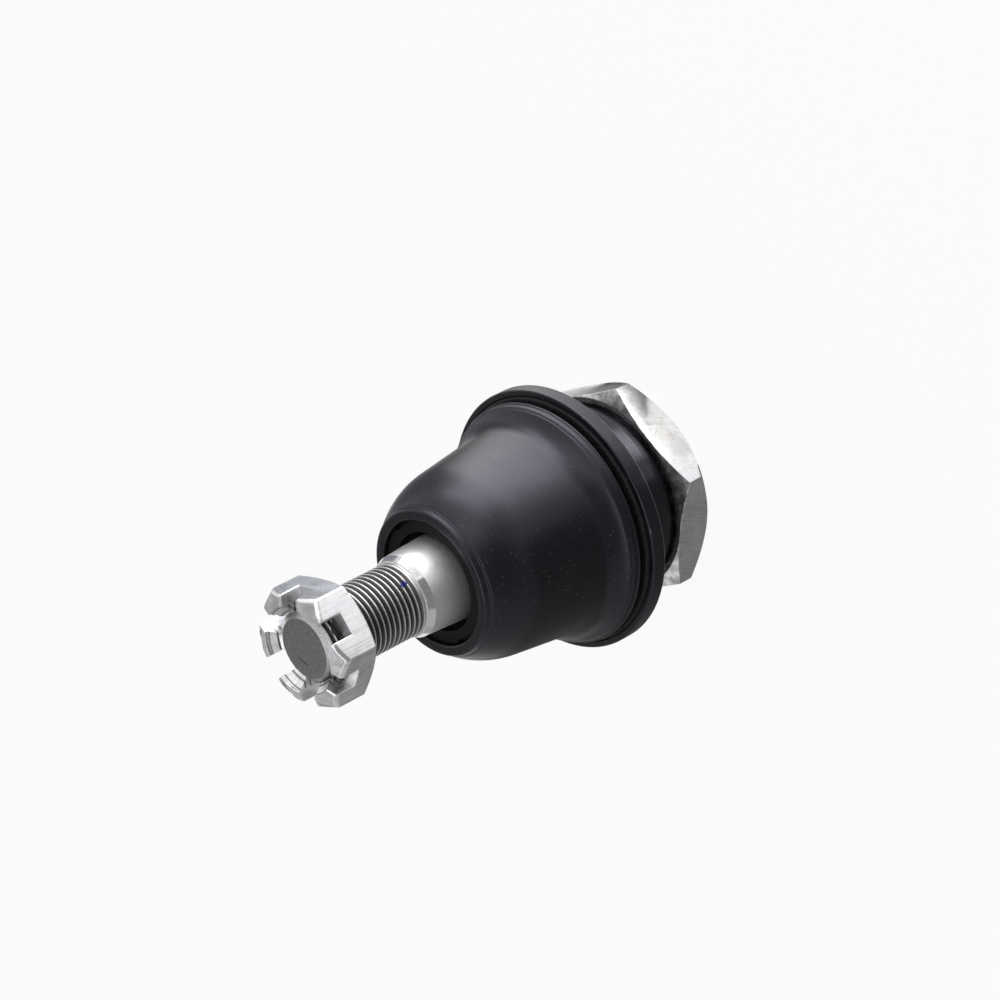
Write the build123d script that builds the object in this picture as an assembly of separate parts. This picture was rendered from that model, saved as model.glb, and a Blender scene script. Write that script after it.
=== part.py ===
# Suspension ball joint standing on the rear face of its lock nut, stud upwards.
# The Z axis is the stud's axis at rest. The origin is the centre of the face it stands on.
from build123d import *
from math import cos, radians, sqrt, tan
import os

# Ball and the bearing shells round it
BALL_DIAMETER = 28.0
BALL_END_FLAT = 9.4
BALL_SETBACK = 5.2
SEAT_WALL = 2.3
SEAT_FLOOR = 1.5
SEAT_SPLIT_GAP = 0.6
SEAT_GREASE_HOLE = 6.0
RUNNING_CLEARANCE = 0.05

# Spring, cover and snap ring, from the rear end forwards
END_RECESS = 0.6
END_RIM = 0.8
SNAP_RING_THICKNESS = 1.2
SNAP_RING_WIDTH = 2.6
SNAP_RING_GAP = 9.0
SNAP_RING_LUG_DIAMETER = 4.6
SNAP_RING_LUG_HOLE = 1.8
SNAP_RING_LUG_INSET = 1.5
SNAP_RING_GROOVE_DEPTH = 1.0
COVER_THICKNESS = 1.8
COVER_LEDGE = 0.75
COVER_DISH_DIAMETER = 18.0
COVER_DISH_DEPTH = 0.6
COVER_SEAL_THICKNESS = 0.6
SPRING_HEIGHT = 1.5
SPRING_THICKNESS = 0.7
SPRING_WIDTH = 8.0
SPRING_EDGE_CLEARANCE = 1.4
PLATE_THICKNESS = 1.5
PLATE_HOLE_DIAMETER = 7.0

# Housing: each outer diameter is a step out from the one inside it
REAR_THREAD_WALL = 2.85
THREAD_START_CHAMFER = 1.0
THREAD_CLEARANCE = 0.05
PILOT_STEP = 1.8
PILOT_CLEARANCE = 0.3
ARM_GAP = 3.4
JOURNAL_STEP = 1.8
JOURNAL_CHAMFER = 0.5
FLANGE_WIDTH = 8.15
FLANGE_THICKNESS = 3.8
FLANGE_EDGE_CHAMFER = 0.4
FLANGE_LIP_WIDTH = 1.6
BOOT_RECESS_DEPTH = 2.0
BOSS_CHAMFER = 1.0

# Mouth that the neck swings in
STUD_TILT = 20.0
MOUTH_HOLD = 1.1
MOUTH_WALL = 3.0
MOUTH_FLARE = 20.0
NECK_CLEARANCE = 1.8
NECK_LENGTH = 6.0

# Lock nut
LOCK_NUT_WALL = 3.85
LOCK_NUT_HEIGHT = 10.5
LOCK_NUT_WASHER_INSET = 0.15
LOCK_NUT_FRONT_CHAMFER = 26.0
LOCK_NUT_REAR_INSET = 0.75
LOCK_NUT_REAR_CHAMFER = 45.0
LOCK_NUT_TURN = 13.0
LOCK_NUT_COUNTERSINK = 0.8

# Stud beyond the neck
STUD_THREAD_DIAMETER = 18.0
STUD_THREAD_LENGTH = 29.1
STUD_THREAD_PITCH = 1.5
STUD_THREAD_DEPTH = 0.92
STUD_THREAD_CREST = 0.19
STUD_END_INSET = 1.8
STUD_END_CHAMFER = 1.5
STEP_LENGTH = 1.7
STEP_RISE = 0.35
TAPER_RISE = 1.1
TAPER_LENGTH = 15.0
TAPER_PER_LENGTH = 0.125
TAPER_FRONT_ABOVE_FLANGE = 48.1
COTTER_HOLE_DIAMETER = 4.0
COTTER_HOLE_FROM_END = 4.6

# Castle nut
CASTLE_NUT_WALL = 4.2
CASTLE_NUT_HEIGHT = 11.6
CASTLE_NUT_PAST_END = 2.2
CASTLE_NUT_REAR_CHAMFER = 25.0
CASTLE_CROWN_SLOPE = 15.0
CASTLE_SLOT_CLEARANCE = 0.6
CASTLE_SLOT_DEPTH = 6.3
CASTLE_COUNT = 6
CASTLE_COUNTERSINK = 0.5
CASTLE_CROWN_COUNTERSINK = 1.7

# Dust boot, its mouth ring and its retaining ring
BOOT_WALL = 2.3
BOOT_BEAD_WIDTH = 5.9
BOOT_BEAD_RISE = 1.4
BOOT_RIM_OVERHANG = 2.5
BOOT_RIM_RISE = 2.0
BOOT_SKIRT_OVERHANG = 1.5
BOOT_SKIRT_RISE = 4.3
BOOT_WAIST_INSET = 3.7
BOOT_WAIST_RISE = 10.0
BOOT_BELLY_INSET = 2.1
BOOT_BELLY_RISE = 27.0
BOOT_OVER_TAPER = 7.3
BOOT_LIP_WIDTH = 2.9
BOOT_LIP_ROUND = 1.2
SOFT_CLEARANCE = 0.1
MOUTH_RING_BELOW_LIP = 1.2
MOUTH_RING_DEPTH = 4.4
MOUTH_RING_WIDTH = 3.2
MOUTH_RING_GAP = 1.54
MOUTH_RING_LIP = 1.0
MOUTH_RING_NOTCHES = 4
MOUTH_RING_NOTCH_WIDTH = 6.0
MOUTH_RING_NOTCH_DEPTH = 0.9
RETAINING_RING_WIDTH = 3.05
RETAINING_RING_THICKNESS = 2.4
RETAINING_RING_CHAMFER = 0.5

# Heights worked out from the base upwards
snap_ring_bottom = END_RECESS + END_RIM
cover_bottom = snap_ring_bottom + SNAP_RING_THICKNESS
cover_top = cover_bottom + COVER_THICKNESS
cover_step = cover_top + COVER_SEAL_THICKNESS
plate_bottom = cover_top + SPRING_HEIGHT
plate_top = plate_bottom + PLATE_THICKNESS
ball_radius = BALL_DIAMETER / 2
ball_height = plate_top + SEAT_FLOOR + ball_radius + 2 * RUNNING_CLEARANCE
flange_front = ball_height + BALL_SETBACK
flange_rear = flange_front - FLANGE_THICKNESS
recess_floor = flange_front - BOOT_RECESS_DEPTH
shoulder_height = LOCK_NUT_HEIGHT + ARM_GAP
taper_top = flange_front + TAPER_FRONT_ABOVE_FLANGE
taper_bottom = taper_top - TAPER_LENGTH
step_top = taper_top + STEP_LENGTH
stud_end = step_top + STUD_THREAD_LENGTH
castle_top = stud_end + CASTLE_NUT_PAST_END
castle_bottom = castle_top - CASTLE_NUT_HEIGHT
boot_top = taper_bottom + BOOT_OVER_TAPER
mouth_ring_top = boot_top - MOUTH_RING_BELOW_LIP
mouth_ring_bottom = mouth_ring_top - MOUTH_RING_DEPTH

# Radii of the housing, worked out from the ball outwards
seat_radius = ball_radius + RUNNING_CLEARANCE
seat_outer_radius = seat_radius + SEAT_WALL
cavity_radius = seat_outer_radius + RUNNING_CLEARANCE
cover_bore = cavity_radius + COVER_LEDGE
cover_radius = cover_bore - RUNNING_CLEARANCE
snap_groove_radius = cover_bore + SNAP_RING_GROOVE_DEPTH
rear_thread_radius = snap_groove_radius + REAR_THREAD_WALL
pilot_radius = rear_thread_radius + PILOT_STEP
journal_radius = pilot_radius + JOURNAL_STEP
flange_radius = journal_radius + FLANGE_WIDTH
recess_radius = flange_radius - FLANGE_LIP_WIDTH
bead_outer = recess_radius - RETAINING_RING_WIDTH - 2 * RUNNING_CLEARANCE
bead_inner = bead_outer - BOOT_BEAD_WIDTH
boss_radius = bead_inner - SOFT_CLEARANCE

# The mouth wall starts where the ball, with its clearance, is as wide as the mouth.
# The neck is as thick as the swing leaves room for at the mouth's upper edge.
mouth_radius = ball_radius - MOUTH_HOLD
mouth_wall_bottom = ball_height + sqrt(seat_radius**2 - mouth_radius**2) + RUNNING_CLEARANCE
mouth_wall_top = mouth_wall_bottom + MOUTH_WALL
flare_radius = mouth_radius + MOUTH_WALL * tan(radians(MOUTH_FLARE))
neck_reach = flare_radius - NECK_CLEARANCE - (mouth_wall_top - ball_height) * tan(radians(STUD_TILT))
neck_radius = neck_reach * cos(radians(STUD_TILT))

# Radii of the stud and the castle nut
stud_thread_radius = STUD_THREAD_DIAMETER / 2
step_radius = stud_thread_radius + STEP_RISE
taper_small_radius = stud_thread_radius + TAPER_RISE
castle_flats = STUD_THREAD_DIAMETER + 2 * CASTLE_NUT_WALL
slot_width = COTTER_HOLE_DIAMETER + 2 * CASTLE_SLOT_CLEARANCE


def taper_radius(height):
    """The taper's radius at a height on it."""
    return taper_small_radius + (taper_top - height) * TAPER_PER_LENGTH / 2


# Radii of the ring in the boot's mouth, a gap wider than the taper
mouth_ring_bore = taper_radius(mouth_ring_top) + MOUTH_RING_GAP
mouth_ring_outer = mouth_ring_bore + MOUTH_RING_WIDTH
boot_mouth_bore = mouth_ring_outer + SOFT_CLEARANCE


def turned(*outline):
    """A solid turned about Z from a closed outline of (radius, height) points."""
    with BuildPart() as piece:
        with BuildSketch(Plane.XZ):
            with BuildLine():
                Polyline(*outline, close=True)
            make_face()
        revolve(axis=Axis.Z)
    return piece.part


def hexagon_corner(apothem):
    """Distance from the axis to an edge of a hexagon whose flats are an apothem away."""
    return apothem / cos(radians(30))


def hexagon_bar(corner, bottom, height, turn=0.0):
    """A hexagonal bar, corner from axis to edge, with one edge at the angle turn from X."""
    bar = extrude(RegularPolygon(corner, 6), height)
    return Pos(0, 0, bottom) * Rot(0, 0, turn) * bar


def make_housing():
    """Flange, journal, pilot and rear thread outside; stepped bore and swing mouth inside."""
    pilot_bottom = LOCK_NUT_HEIGHT + PILOT_CLEARANCE
    return turned(
        (cover_bore, END_RECESS),
        (rear_thread_radius - THREAD_START_CHAMFER, END_RECESS),
        (rear_thread_radius, END_RECESS + THREAD_START_CHAMFER),
        (rear_thread_radius, pilot_bottom),
        (pilot_radius, pilot_bottom),
        (pilot_radius, shoulder_height),
        (journal_radius - JOURNAL_CHAMFER, shoulder_height),
        (journal_radius, shoulder_height + JOURNAL_CHAMFER),
        (journal_radius, flange_rear),
        (flange_radius - FLANGE_EDGE_CHAMFER, flange_rear),
        (flange_radius, flange_rear + FLANGE_EDGE_CHAMFER),
        (flange_radius, flange_front - FLANGE_EDGE_CHAMFER),
        (flange_radius - FLANGE_EDGE_CHAMFER, flange_front),
        (recess_radius, flange_front),
        (recess_radius, recess_floor),
        (boss_radius, recess_floor),
        (boss_radius, mouth_wall_top - BOSS_CHAMFER),
        (boss_radius - BOSS_CHAMFER, mouth_wall_top),
        (flare_radius, mouth_wall_top),
        (mouth_radius, mouth_wall_bottom),
        (cavity_radius, mouth_wall_bottom),
        (cavity_radius, cover_step),
        (cover_bore, cover_step),
        (cover_bore, cover_bottom),
        (snap_groove_radius, cover_bottom),
        (snap_groove_radius, snap_ring_bottom),
        (cover_bore, snap_ring_bottom),
    )


def make_lock_nut():
    """Large thin hexagon, chamfered all round: shallow towards the flange, steep at the rear."""
    bore = rear_thread_radius + THREAD_CLEARANCE
    countersink = bore + LOCK_NUT_COUNTERSINK
    apothem = rear_thread_radius + LOCK_NUT_WALL
    corner = hexagon_corner(apothem)
    washer = apothem - LOCK_NUT_WASHER_INSET
    rear = apothem - LOCK_NUT_REAR_INSET
    front_drop = (corner - washer) * tan(radians(LOCK_NUT_FRONT_CHAMFER))
    rear_rise = (corner - rear) * tan(radians(LOCK_NUT_REAR_CHAMFER))
    envelope = turned(
        (countersink, 0),
        (rear, 0),
        (corner, rear_rise),
        (corner, LOCK_NUT_HEIGHT - front_drop),
        (washer, LOCK_NUT_HEIGHT),
        (countersink, LOCK_NUT_HEIGHT),
        (bore, LOCK_NUT_HEIGHT - LOCK_NUT_COUNTERSINK),
        (bore, LOCK_NUT_COUNTERSINK),
    )
    return envelope & hexagon_bar(corner, 0, LOCK_NUT_HEIGHT, LOCK_NUT_TURN)


def thread_outline():
    """Crests and roots of the stud's thread from the step to the end chamfer, as rings at its pitch."""
    root = stud_thread_radius - STUD_THREAD_DEPTH
    points = []
    for index in range(int((STUD_THREAD_LENGTH - STUD_END_CHAMFER) / STUD_THREAD_PITCH)):
        crest_bottom = step_top + index * STUD_THREAD_PITCH
        groove_bottom = crest_bottom + STUD_THREAD_CREST
        groove_top = crest_bottom + STUD_THREAD_PITCH
        points += [
            (stud_thread_radius, crest_bottom),
            (stud_thread_radius, groove_bottom),
            (root, (groove_bottom + groove_top) / 2),
        ]
    return points + [(stud_thread_radius, groove_top)]


def make_ball_stud():
    """Ball with an end flat, waisted neck, taper, step and threaded end with a cotter hole."""
    flat = BALL_END_FLAT / 2
    ball_bottom = ball_height - sqrt(ball_radius**2 - flat**2)
    neck_bottom = ball_height + sqrt(ball_radius**2 - neck_radius**2)
    neck_top = neck_bottom + NECK_LENGTH
    with BuildPart() as stud:
        with BuildSketch(Plane.XZ):
            with BuildLine():
                Polyline((0, ball_bottom), (flat, ball_bottom))
                ThreePointArc((flat, ball_bottom), (ball_radius, ball_height), (neck_radius, neck_bottom))
                Line((neck_radius, neck_bottom), (neck_radius, neck_top))
                Spline(
                    (neck_radius, neck_top),
                    (taper_radius(taper_bottom), taper_bottom),
                    tangents=((0, 1), (-TAPER_PER_LENGTH / 2, 1)),
                )
                Polyline(
                    (taper_radius(taper_bottom), taper_bottom),
                    (taper_small_radius, taper_top),
                    (step_radius, step_top),
                    *thread_outline(),
                    (stud_thread_radius, stud_end - STUD_END_CHAMFER),
                    (stud_thread_radius - STUD_END_INSET, stud_end),
                    (0, stud_end),
                    (0, ball_bottom),
                )
            make_face()
        revolve(axis=Axis.Z)
    hole = Cylinder(COTTER_HOLE_DIAMETER / 2, 2 * STUD_THREAD_DIAMETER, rotation=(90, 0, 0))
    return stud.part - Pos(0, 0, stud_end - COTTER_HOLE_FROM_END) * hole


def make_castle_nut():
    """Hexagon nut with a slot through the middle of each flat, and a conical crown on its prongs."""
    bore = stud_thread_radius + THREAD_CLEARANCE
    rear = castle_flats / 2
    corner = hexagon_corner(rear)
    crown = bore + CASTLE_CROWN_COUNTERSINK
    rear_rise = (corner - rear) * tan(radians(CASTLE_NUT_REAR_CHAMFER))
    crown_drop = (corner - crown) * tan(radians(CASTLE_CROWN_SLOPE))
    envelope = turned(
        (bore + CASTLE_COUNTERSINK, castle_bottom),
        (rear, castle_bottom),
        (corner, castle_bottom + rear_rise),
        (corner, castle_top - crown_drop),
        (crown, castle_top),
        (bore, castle_top - CASTLE_CROWN_COUNTERSINK),
        (bore, castle_bottom + CASTLE_COUNTERSINK),
    )
    nut = envelope & hexagon_bar(corner, castle_bottom, CASTLE_NUT_HEIGHT)
    slot = Box(2 * corner, slot_width, CASTLE_SLOT_DEPTH)
    slot_middle = castle_top - CASTLE_SLOT_DEPTH / 2
    for index in range(CASTLE_COUNT // 2):
        direction = (index + 0.5) * 360 / CASTLE_COUNT
        nut -= Pos(0, 0, slot_middle) * Rot(0, 0, direction) * slot
    return nut


def make_dust_boot():
    """Rubber bell: bead in the flange's recess, rim, flared skirt, conical side, shoulder and mouth lip."""
    bead_bottom = recess_floor + RUNNING_CLEARANCE
    bead_top = flange_front + BOOT_BEAD_RISE
    inner_top = bead_top + BOOT_WALL
    rim = (bead_outer + BOOT_RIM_OVERHANG, flange_front + BOOT_RIM_RISE)
    skirt = Vector(bead_outer + BOOT_SKIRT_OVERHANG, flange_front + BOOT_SKIRT_RISE)
    waist = Vector(skirt.X - BOOT_WAIST_INSET, flange_front + BOOT_WAIST_RISE)
    belly = Vector(waist.X - BOOT_BELLY_INSET, flange_front + BOOT_BELLY_RISE)
    side = belly - waist
    inwards = Vector(-BOOT_WALL, 0)
    mouth = boot_mouth_bore + BOOT_LIP_WIDTH
    lip_start = (mouth, boot_top - BOOT_LIP_ROUND)
    lip_end = (mouth - BOOT_LIP_ROUND, boot_top)
    collar_bottom = mouth_ring_bottom - SOFT_CLEARANCE
    with BuildPart() as boot:
        with BuildSketch(Plane.XZ):
            with BuildLine():
                Polyline(
                    (bead_inner, bead_bottom),
                    (bead_outer, bead_bottom),
                    (bead_outer, bead_top),
                    rim,
                    skirt,
                )
                TangentArc(waist, skirt, tangent=-side)
                Line(waist, belly)
                TangentArc(belly, lip_start, tangent=side)
                RadiusArc(lip_start, lip_end, -BOOT_LIP_ROUND)
                Polyline(lip_end, (boot_mouth_bore, boot_top), (boot_mouth_bore, collar_bottom))
                TangentArc(belly + inwards, (boot_mouth_bore, collar_bottom), tangent=side)
                Polyline(
                    belly + inwards,
                    waist + inwards,
                    (bead_inner, inner_top),
                    (bead_inner, bead_bottom),
                )
            make_face()
        revolve(axis=Axis.Z)
    return boot.part


def make_boot_mouth_ring():
    """Stiff ring in the boot's mouth, with a wiping lip round the taper and notches in its rim."""
    lip_top = mouth_ring_bottom + MOUTH_RING_LIP
    ring = turned(
        (taper_radius(mouth_ring_bottom) + SOFT_CLEARANCE, mouth_ring_bottom),
        (mouth_ring_outer, mouth_ring_bottom),
        (mouth_ring_outer, mouth_ring_top),
        (mouth_ring_bore, mouth_ring_top),
        (mouth_ring_bore, lip_top + MOUTH_RING_LIP),
        (taper_radius(lip_top) + SOFT_CLEARANCE, lip_top),
    )
    notch = Box(2 * MOUTH_RING_NOTCH_DEPTH, MOUTH_RING_NOTCH_WIDTH, 2 * MOUTH_RING_NOTCH_DEPTH)
    for index in range(MOUTH_RING_NOTCHES):
        ring -= Rot(0, 0, index * 360 / MOUTH_RING_NOTCHES) * Pos(mouth_ring_outer, 0, mouth_ring_top) * notch
    return ring


def make_boot_retaining_ring():
    """Ring pressed into the flange's recess round the boot's bead, chamfered on its front."""
    outer = recess_radius - RUNNING_CLEARANCE
    inner = outer - RETAINING_RING_WIDTH
    top = recess_floor + RETAINING_RING_THICKNESS
    shoulder = top - RETAINING_RING_CHAMFER
    return turned(
        (inner, recess_floor),
        (outer, recess_floor),
        (outer, shoulder),
        (outer - RETAINING_RING_CHAMFER, top),
        (inner + RETAINING_RING_CHAMFER, top),
        (inner, shoulder),
    )


def make_upper_seat():
    """Bearing shell over the ball, under the housing's mouth wall."""
    bottom = ball_height + SEAT_SPLIT_GAP / 2
    top = mouth_wall_bottom - RUNNING_CLEARANCE
    shell = turned((0, bottom), (seat_outer_radius, bottom), (seat_outer_radius, top), (0, top))
    return shell - Pos(0, 0, ball_height) * Sphere(seat_radius)


def make_lower_seat():
    """Bearing cup under the ball, with a grease hole through its floor."""
    bottom = plate_top + RUNNING_CLEARANCE
    top = ball_height - SEAT_SPLIT_GAP / 2
    inner = SEAT_GREASE_HOLE / 2
    cup = turned((inner, bottom), (seat_outer_radius, bottom), (seat_outer_radius, top), (inner, top))
    return cup - Pos(0, 0, ball_height) * Sphere(seat_radius)


def make_pressure_plate():
    """Steel disc that spreads the spring's push over the lower seat."""
    inner = PLATE_HOLE_DIAMETER / 2
    outer = cavity_radius - RUNNING_CLEARANCE
    return turned((inner, plate_bottom), (outer, plate_bottom), (outer, plate_top), (inner, plate_top))


def make_disc_spring():
    """Conical spring washer: outer edge on the cover, inner edge under the pressure plate."""
    outer = cavity_radius - SPRING_EDGE_CLEARANCE
    inner = outer - SPRING_WIDTH
    return turned(
        (outer, cover_top),
        (outer, cover_top + SPRING_THICKNESS),
        (inner, plate_bottom),
        (inner, plate_bottom - SPRING_THICKNESS),
    )


def make_cover_seal():
    """Flat seal ring between the cover and the step in the housing's bore."""
    inner = cavity_radius + RUNNING_CLEARANCE
    outer = cover_radius
    return turned((inner, cover_top), (outer, cover_top), (outer, cover_step), (inner, cover_step))


def make_end_cover():
    """Disc that closes the housing from behind, dished in the middle."""
    dish = COVER_DISH_DIAMETER / 2
    return turned(
        (0, cover_bottom + COVER_DISH_DEPTH),
        (dish - COVER_DISH_DEPTH, cover_bottom + COVER_DISH_DEPTH),
        (dish, cover_bottom),
        (cover_radius, cover_bottom),
        (cover_radius, cover_top),
        (0, cover_top),
    )


def make_snap_ring():
    """Open ring with two lugs and plier holes, sprung into the housing's groove."""
    outer = snap_groove_radius - RUNNING_CLEARANCE
    inner = outer - SNAP_RING_WIDTH
    top = cover_bottom
    ring = turned((inner, snap_ring_bottom), (outer, snap_ring_bottom), (outer, top), (inner, top))
    middle = (snap_ring_bottom + top) / 2
    ring -= Pos(inner, 0, middle) * Box(4 * SNAP_RING_WIDTH, SNAP_RING_GAP, 2 * SNAP_RING_THICKNESS)
    lug_offset = (SNAP_RING_GAP + SNAP_RING_LUG_DIAMETER) / 2
    lug_reach = sqrt((inner + SNAP_RING_WIDTH / 2) ** 2 - lug_offset**2) - SNAP_RING_LUG_INSET
    for side in (-1, 1):
        place = Pos(lug_reach, side * lug_offset, middle)
        ring += place * Cylinder(SNAP_RING_LUG_DIAMETER / 2, SNAP_RING_THICKNESS)
        ring -= place * Cylinder(SNAP_RING_LUG_HOLE / 2, 2 * SNAP_RING_THICKNESS)
    return ring


PIECES = {
    "housing": make_housing,
    "lock_nut": make_lock_nut,
    "ball_stud": make_ball_stud,
    "castle_nut": make_castle_nut,
    "dust_boot": make_dust_boot,
    "boot_mouth_ring": make_boot_mouth_ring,
    "boot_retaining_ring": make_boot_retaining_ring,
    "upper_seat": make_upper_seat,
    "lower_seat": make_lower_seat,
    "pressure_plate": make_pressure_plate,
    "disc_spring": make_disc_spring,
    "cover_seal": make_cover_seal,
    "end_cover": make_end_cover,
    "snap_ring": make_snap_ring,
}

os.makedirs("parts", exist_ok=True)
for name, make in PIECES.items():
    export_step(make(), f"parts/{name}.step")

print(f"ball centre {ball_height:.2f} mm above the base, top at {castle_top:.2f} mm")
print(f"flange {2 * flange_radius:.2f} mm across, neck {2 * neck_radius:.2f} mm")
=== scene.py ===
# Suspension ball joint: detailed pieces, finishes, floor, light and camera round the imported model.
from contextlib import contextmanager
from math import ceil, cos, pi, radians, sin, sqrt, tan

import bmesh
import bpy
import numpy as np
from mathutils import Matrix, Vector


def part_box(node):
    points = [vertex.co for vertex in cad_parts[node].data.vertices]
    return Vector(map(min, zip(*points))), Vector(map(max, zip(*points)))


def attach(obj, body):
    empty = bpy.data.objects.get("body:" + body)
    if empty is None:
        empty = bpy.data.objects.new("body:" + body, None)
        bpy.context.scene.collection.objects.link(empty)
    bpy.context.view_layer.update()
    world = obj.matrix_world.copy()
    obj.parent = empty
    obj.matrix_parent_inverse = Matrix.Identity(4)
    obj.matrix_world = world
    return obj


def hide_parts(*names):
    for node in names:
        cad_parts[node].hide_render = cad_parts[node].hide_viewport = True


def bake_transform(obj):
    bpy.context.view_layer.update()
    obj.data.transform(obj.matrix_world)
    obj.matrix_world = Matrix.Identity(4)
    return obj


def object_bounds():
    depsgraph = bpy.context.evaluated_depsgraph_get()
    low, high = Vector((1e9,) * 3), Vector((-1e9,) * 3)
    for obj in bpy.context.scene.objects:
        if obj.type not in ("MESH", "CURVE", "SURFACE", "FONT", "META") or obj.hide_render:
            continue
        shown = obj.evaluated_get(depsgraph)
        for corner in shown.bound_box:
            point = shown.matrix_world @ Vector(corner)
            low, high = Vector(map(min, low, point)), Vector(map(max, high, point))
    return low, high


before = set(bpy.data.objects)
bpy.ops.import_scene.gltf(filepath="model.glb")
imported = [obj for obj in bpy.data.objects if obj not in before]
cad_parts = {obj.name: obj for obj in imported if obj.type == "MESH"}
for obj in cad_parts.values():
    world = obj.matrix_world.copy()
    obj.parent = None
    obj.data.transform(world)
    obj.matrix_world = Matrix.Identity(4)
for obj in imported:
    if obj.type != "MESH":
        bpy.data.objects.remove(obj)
cad_low, cad_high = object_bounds()

MM = 0.001
FULL_TURN = 2 * pi

# Housing, in millimetres
END_BORE = 17.15
REAR_THREAD_RADIUS = 21.0
THREAD_START_CHAMFER = 1.0
PILOT_RADIUS = 22.8
PILOT_BOTTOM = 10.8
SHOULDER_HEIGHT = 13.9
JOURNAL_RADIUS = 24.6
JOURNAL_CHAMFER = 0.5
FLANGE_REAR = 24.4
FLANGE_FRONT = 28.2
# The band round the flange's rear edge that gets a painted highlight line
PAINTED_HIGHLIGHT_BELOW = 0.1
PAINTED_HIGHLIGHT_ABOVE = 0.3
RECESS_RADIUS = 31.15
RECESS_FLOOR = 26.2
BOSS_RADIUS = 22.0
MOUTH_RADIUS = 12.9
MOUTH_FLARE_RADIUS = 13.99
MOUTH_WALL_BOTTOM = 28.62
CAVITY_RADIUS = 16.4
COVER_STEP = 5.0
COVER_BOTTOM = 2.6
SNAP_GROOVE_RADIUS = 18.15
SNAP_GROOVE_BOTTOM = 1.4

# Nuts, with slopes and turns in degrees
LOCK_NUT_APOTHEM = 24.85
LOCK_NUT_TURN = 13.0
LOCK_NUT_WASHER_RADIUS = 24.7
LOCK_NUT_FRONT_SLOPE = 26.0
LOCK_NUT_REAR_RADIUS = 24.1
LOCK_NUT_REAR_SLOPE = 45.0
LOCK_NUT_EDGE = 0.14
LOCK_NUT_BORE_MARGIN = 0.1
# Radius inside which the lock nut's bore gets painted shade and dirt
LOCK_NUT_SHADE_AND_DIRT_RADIUS = REAR_THREAD_RADIUS + 0.4
CASTLE_NUT_APOTHEM = 13.2
CASTLE_REAR_INSET = 0.5
CASTLE_REAR_SLOPE = 25.0
CASTLE_CROWN_SLOPE = 15.0
CASTLE_CROWN_RADIUS = 10.75
CASTLE_SLOT_WIDTH = 5.2
CASTLE_SLOT_DEPTH = 6.3
CASTLE_BORE_OVERCUT = 0.15
CASTLE_NUT_EDGE = 0.35
CASTLE_FLOOR_MARGIN = 0.01
# Radius inside which the castle nut's bore, prongs' insides and countersink get painted shade and dirt
CASTLE_NUT_SHADE_AND_DIRT_RADIUS = CASTLE_CROWN_RADIUS - 0.15
SLOT_COUNT = 6
PRONG_ROUND = 0.7
PRONG_WALL_ROUND = 0.3
PRONG_CORNER_RADIUS = 13.3
PRONG_CORNER_SLOPE = 34.0
PRONG_LEVELS = 44
PRONG_ROUND_LEVELS = 5
PRONG_INNER_STEPS = 16

# Threads, with run-in, run-out and lead in turns, and the nut's thread in shares of a turn
THREAD_PITCH = 1.5
THREAD_DEPTH = 0.92
THREAD_CLEARANCE = 0.05
THREAD_RUN_IN = 1.6
THREAD_RUN_OUT = 0.5
THREAD_LEAD = 1.2
NUT_THREAD_HALF = 0.45
NUT_THREAD_FLANK = 0.40
THREAD_ROW_SHARES = (
    (0.00, 0.00), (0.05, 0.00), (0.09, 0.08), (0.22, 0.42), (0.36, 0.80),
    (0.43, 0.96), (0.50, 1.00), (0.57, 0.96), (0.64, 0.80), (0.78, 0.42),
    (0.91, 0.08), (0.95, 0.00),
)

# Stud
BALL_HEIGHT = 23.0
BALL_RADIUS = 14.0
BALL_FLAT_RADIUS = 4.7
BALL_STEPS = 40
NECK_RADIUS = 8.5
NECK_LENGTH = 6.0
NECK_STEPS = 20
TAPER_BOTTOM = 61.3
TAPER_TOP = 76.3
TAPER_LARGE_RADIUS = 11.04
TAPER_SMALL_RADIUS = 10.1
STEP_RADIUS = 9.35
STEP_TOP = 78.0
STEP_ROUND = 0.12
STUD_THREAD_RADIUS = 9.0
STUD_END_RADIUS = 7.2
STUD_END_CHAMFER = 1.5
STUD_END_EDGE = 0.05
STUD_END_EDGE_FADE = 0.3
COTTER_HOLE_RADIUS = 2.0
COTTER_HOLE_HEIGHT = 102.5
COTTER_HOLE_REACH = 15.0
STUD_END = 107.1
SAWN_DEPTH = 0.05
INK_DAB = (2.3, -8.7, 81.2)
INK_DAB_RADIUS = 0.9
SCRATCH_START = (-0.49, 3.96)
SCRATCH_END = (-3.37, 2.17)
SCRATCH_WIDTH = 0.16

# Dust boot, with (radius, height) points on its outline
BEAD_INNER = 22.1
BEAD_OUTER = 28.0
BEAD_TOP = 29.6
RIM = (30.5, 30.2)
SKIRT = (29.5, 32.5)
RIM_GROOVE = 0.16
RIM_LINE_SHARES = (0.32, 0.9)
LIP_GROOVE = 0.07
LIP_LINE_SHARES = (0.35, 0.85)
WAIST = (25.8, 38.2)
BELLY = (23.7, 55.2)
BOOT_WALL = 2.3
BOOT_MOUTH_RADIUS = 18.4
BOOT_BORE = 15.5
BOOT_BORE_ROUND = 0.6
BOOT_LIP_ROUND = 1.2
BOOT_LIP_LEAN = 0.35
BOOT_ROW_LENGTH = 1.2
COLLAR_BOTTOM = 62.9

# Meshes: columns round a turned piece, and the least angles of a sharp edge in degrees
TURNED_COLUMNS = 192
FORGING_COLUMNS = 240
THREAD_COLUMNS = 144
TOOL_COLUMNS = 120
INNER_THREAD_COLUMNS = 96
HOLE_COLUMNS = 48
SHADED_CORNER = 42.0
ROUNDED_CORNER = 22.0
CAD_CORNER = 40.0
CAD_EDGE = 0.15
CAD_WELD = 1e-3
WELD_DISTANCE = 1e-4
SLIVER_LENGTH = 2e-3
TOOL_MARGIN = 1.0

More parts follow.
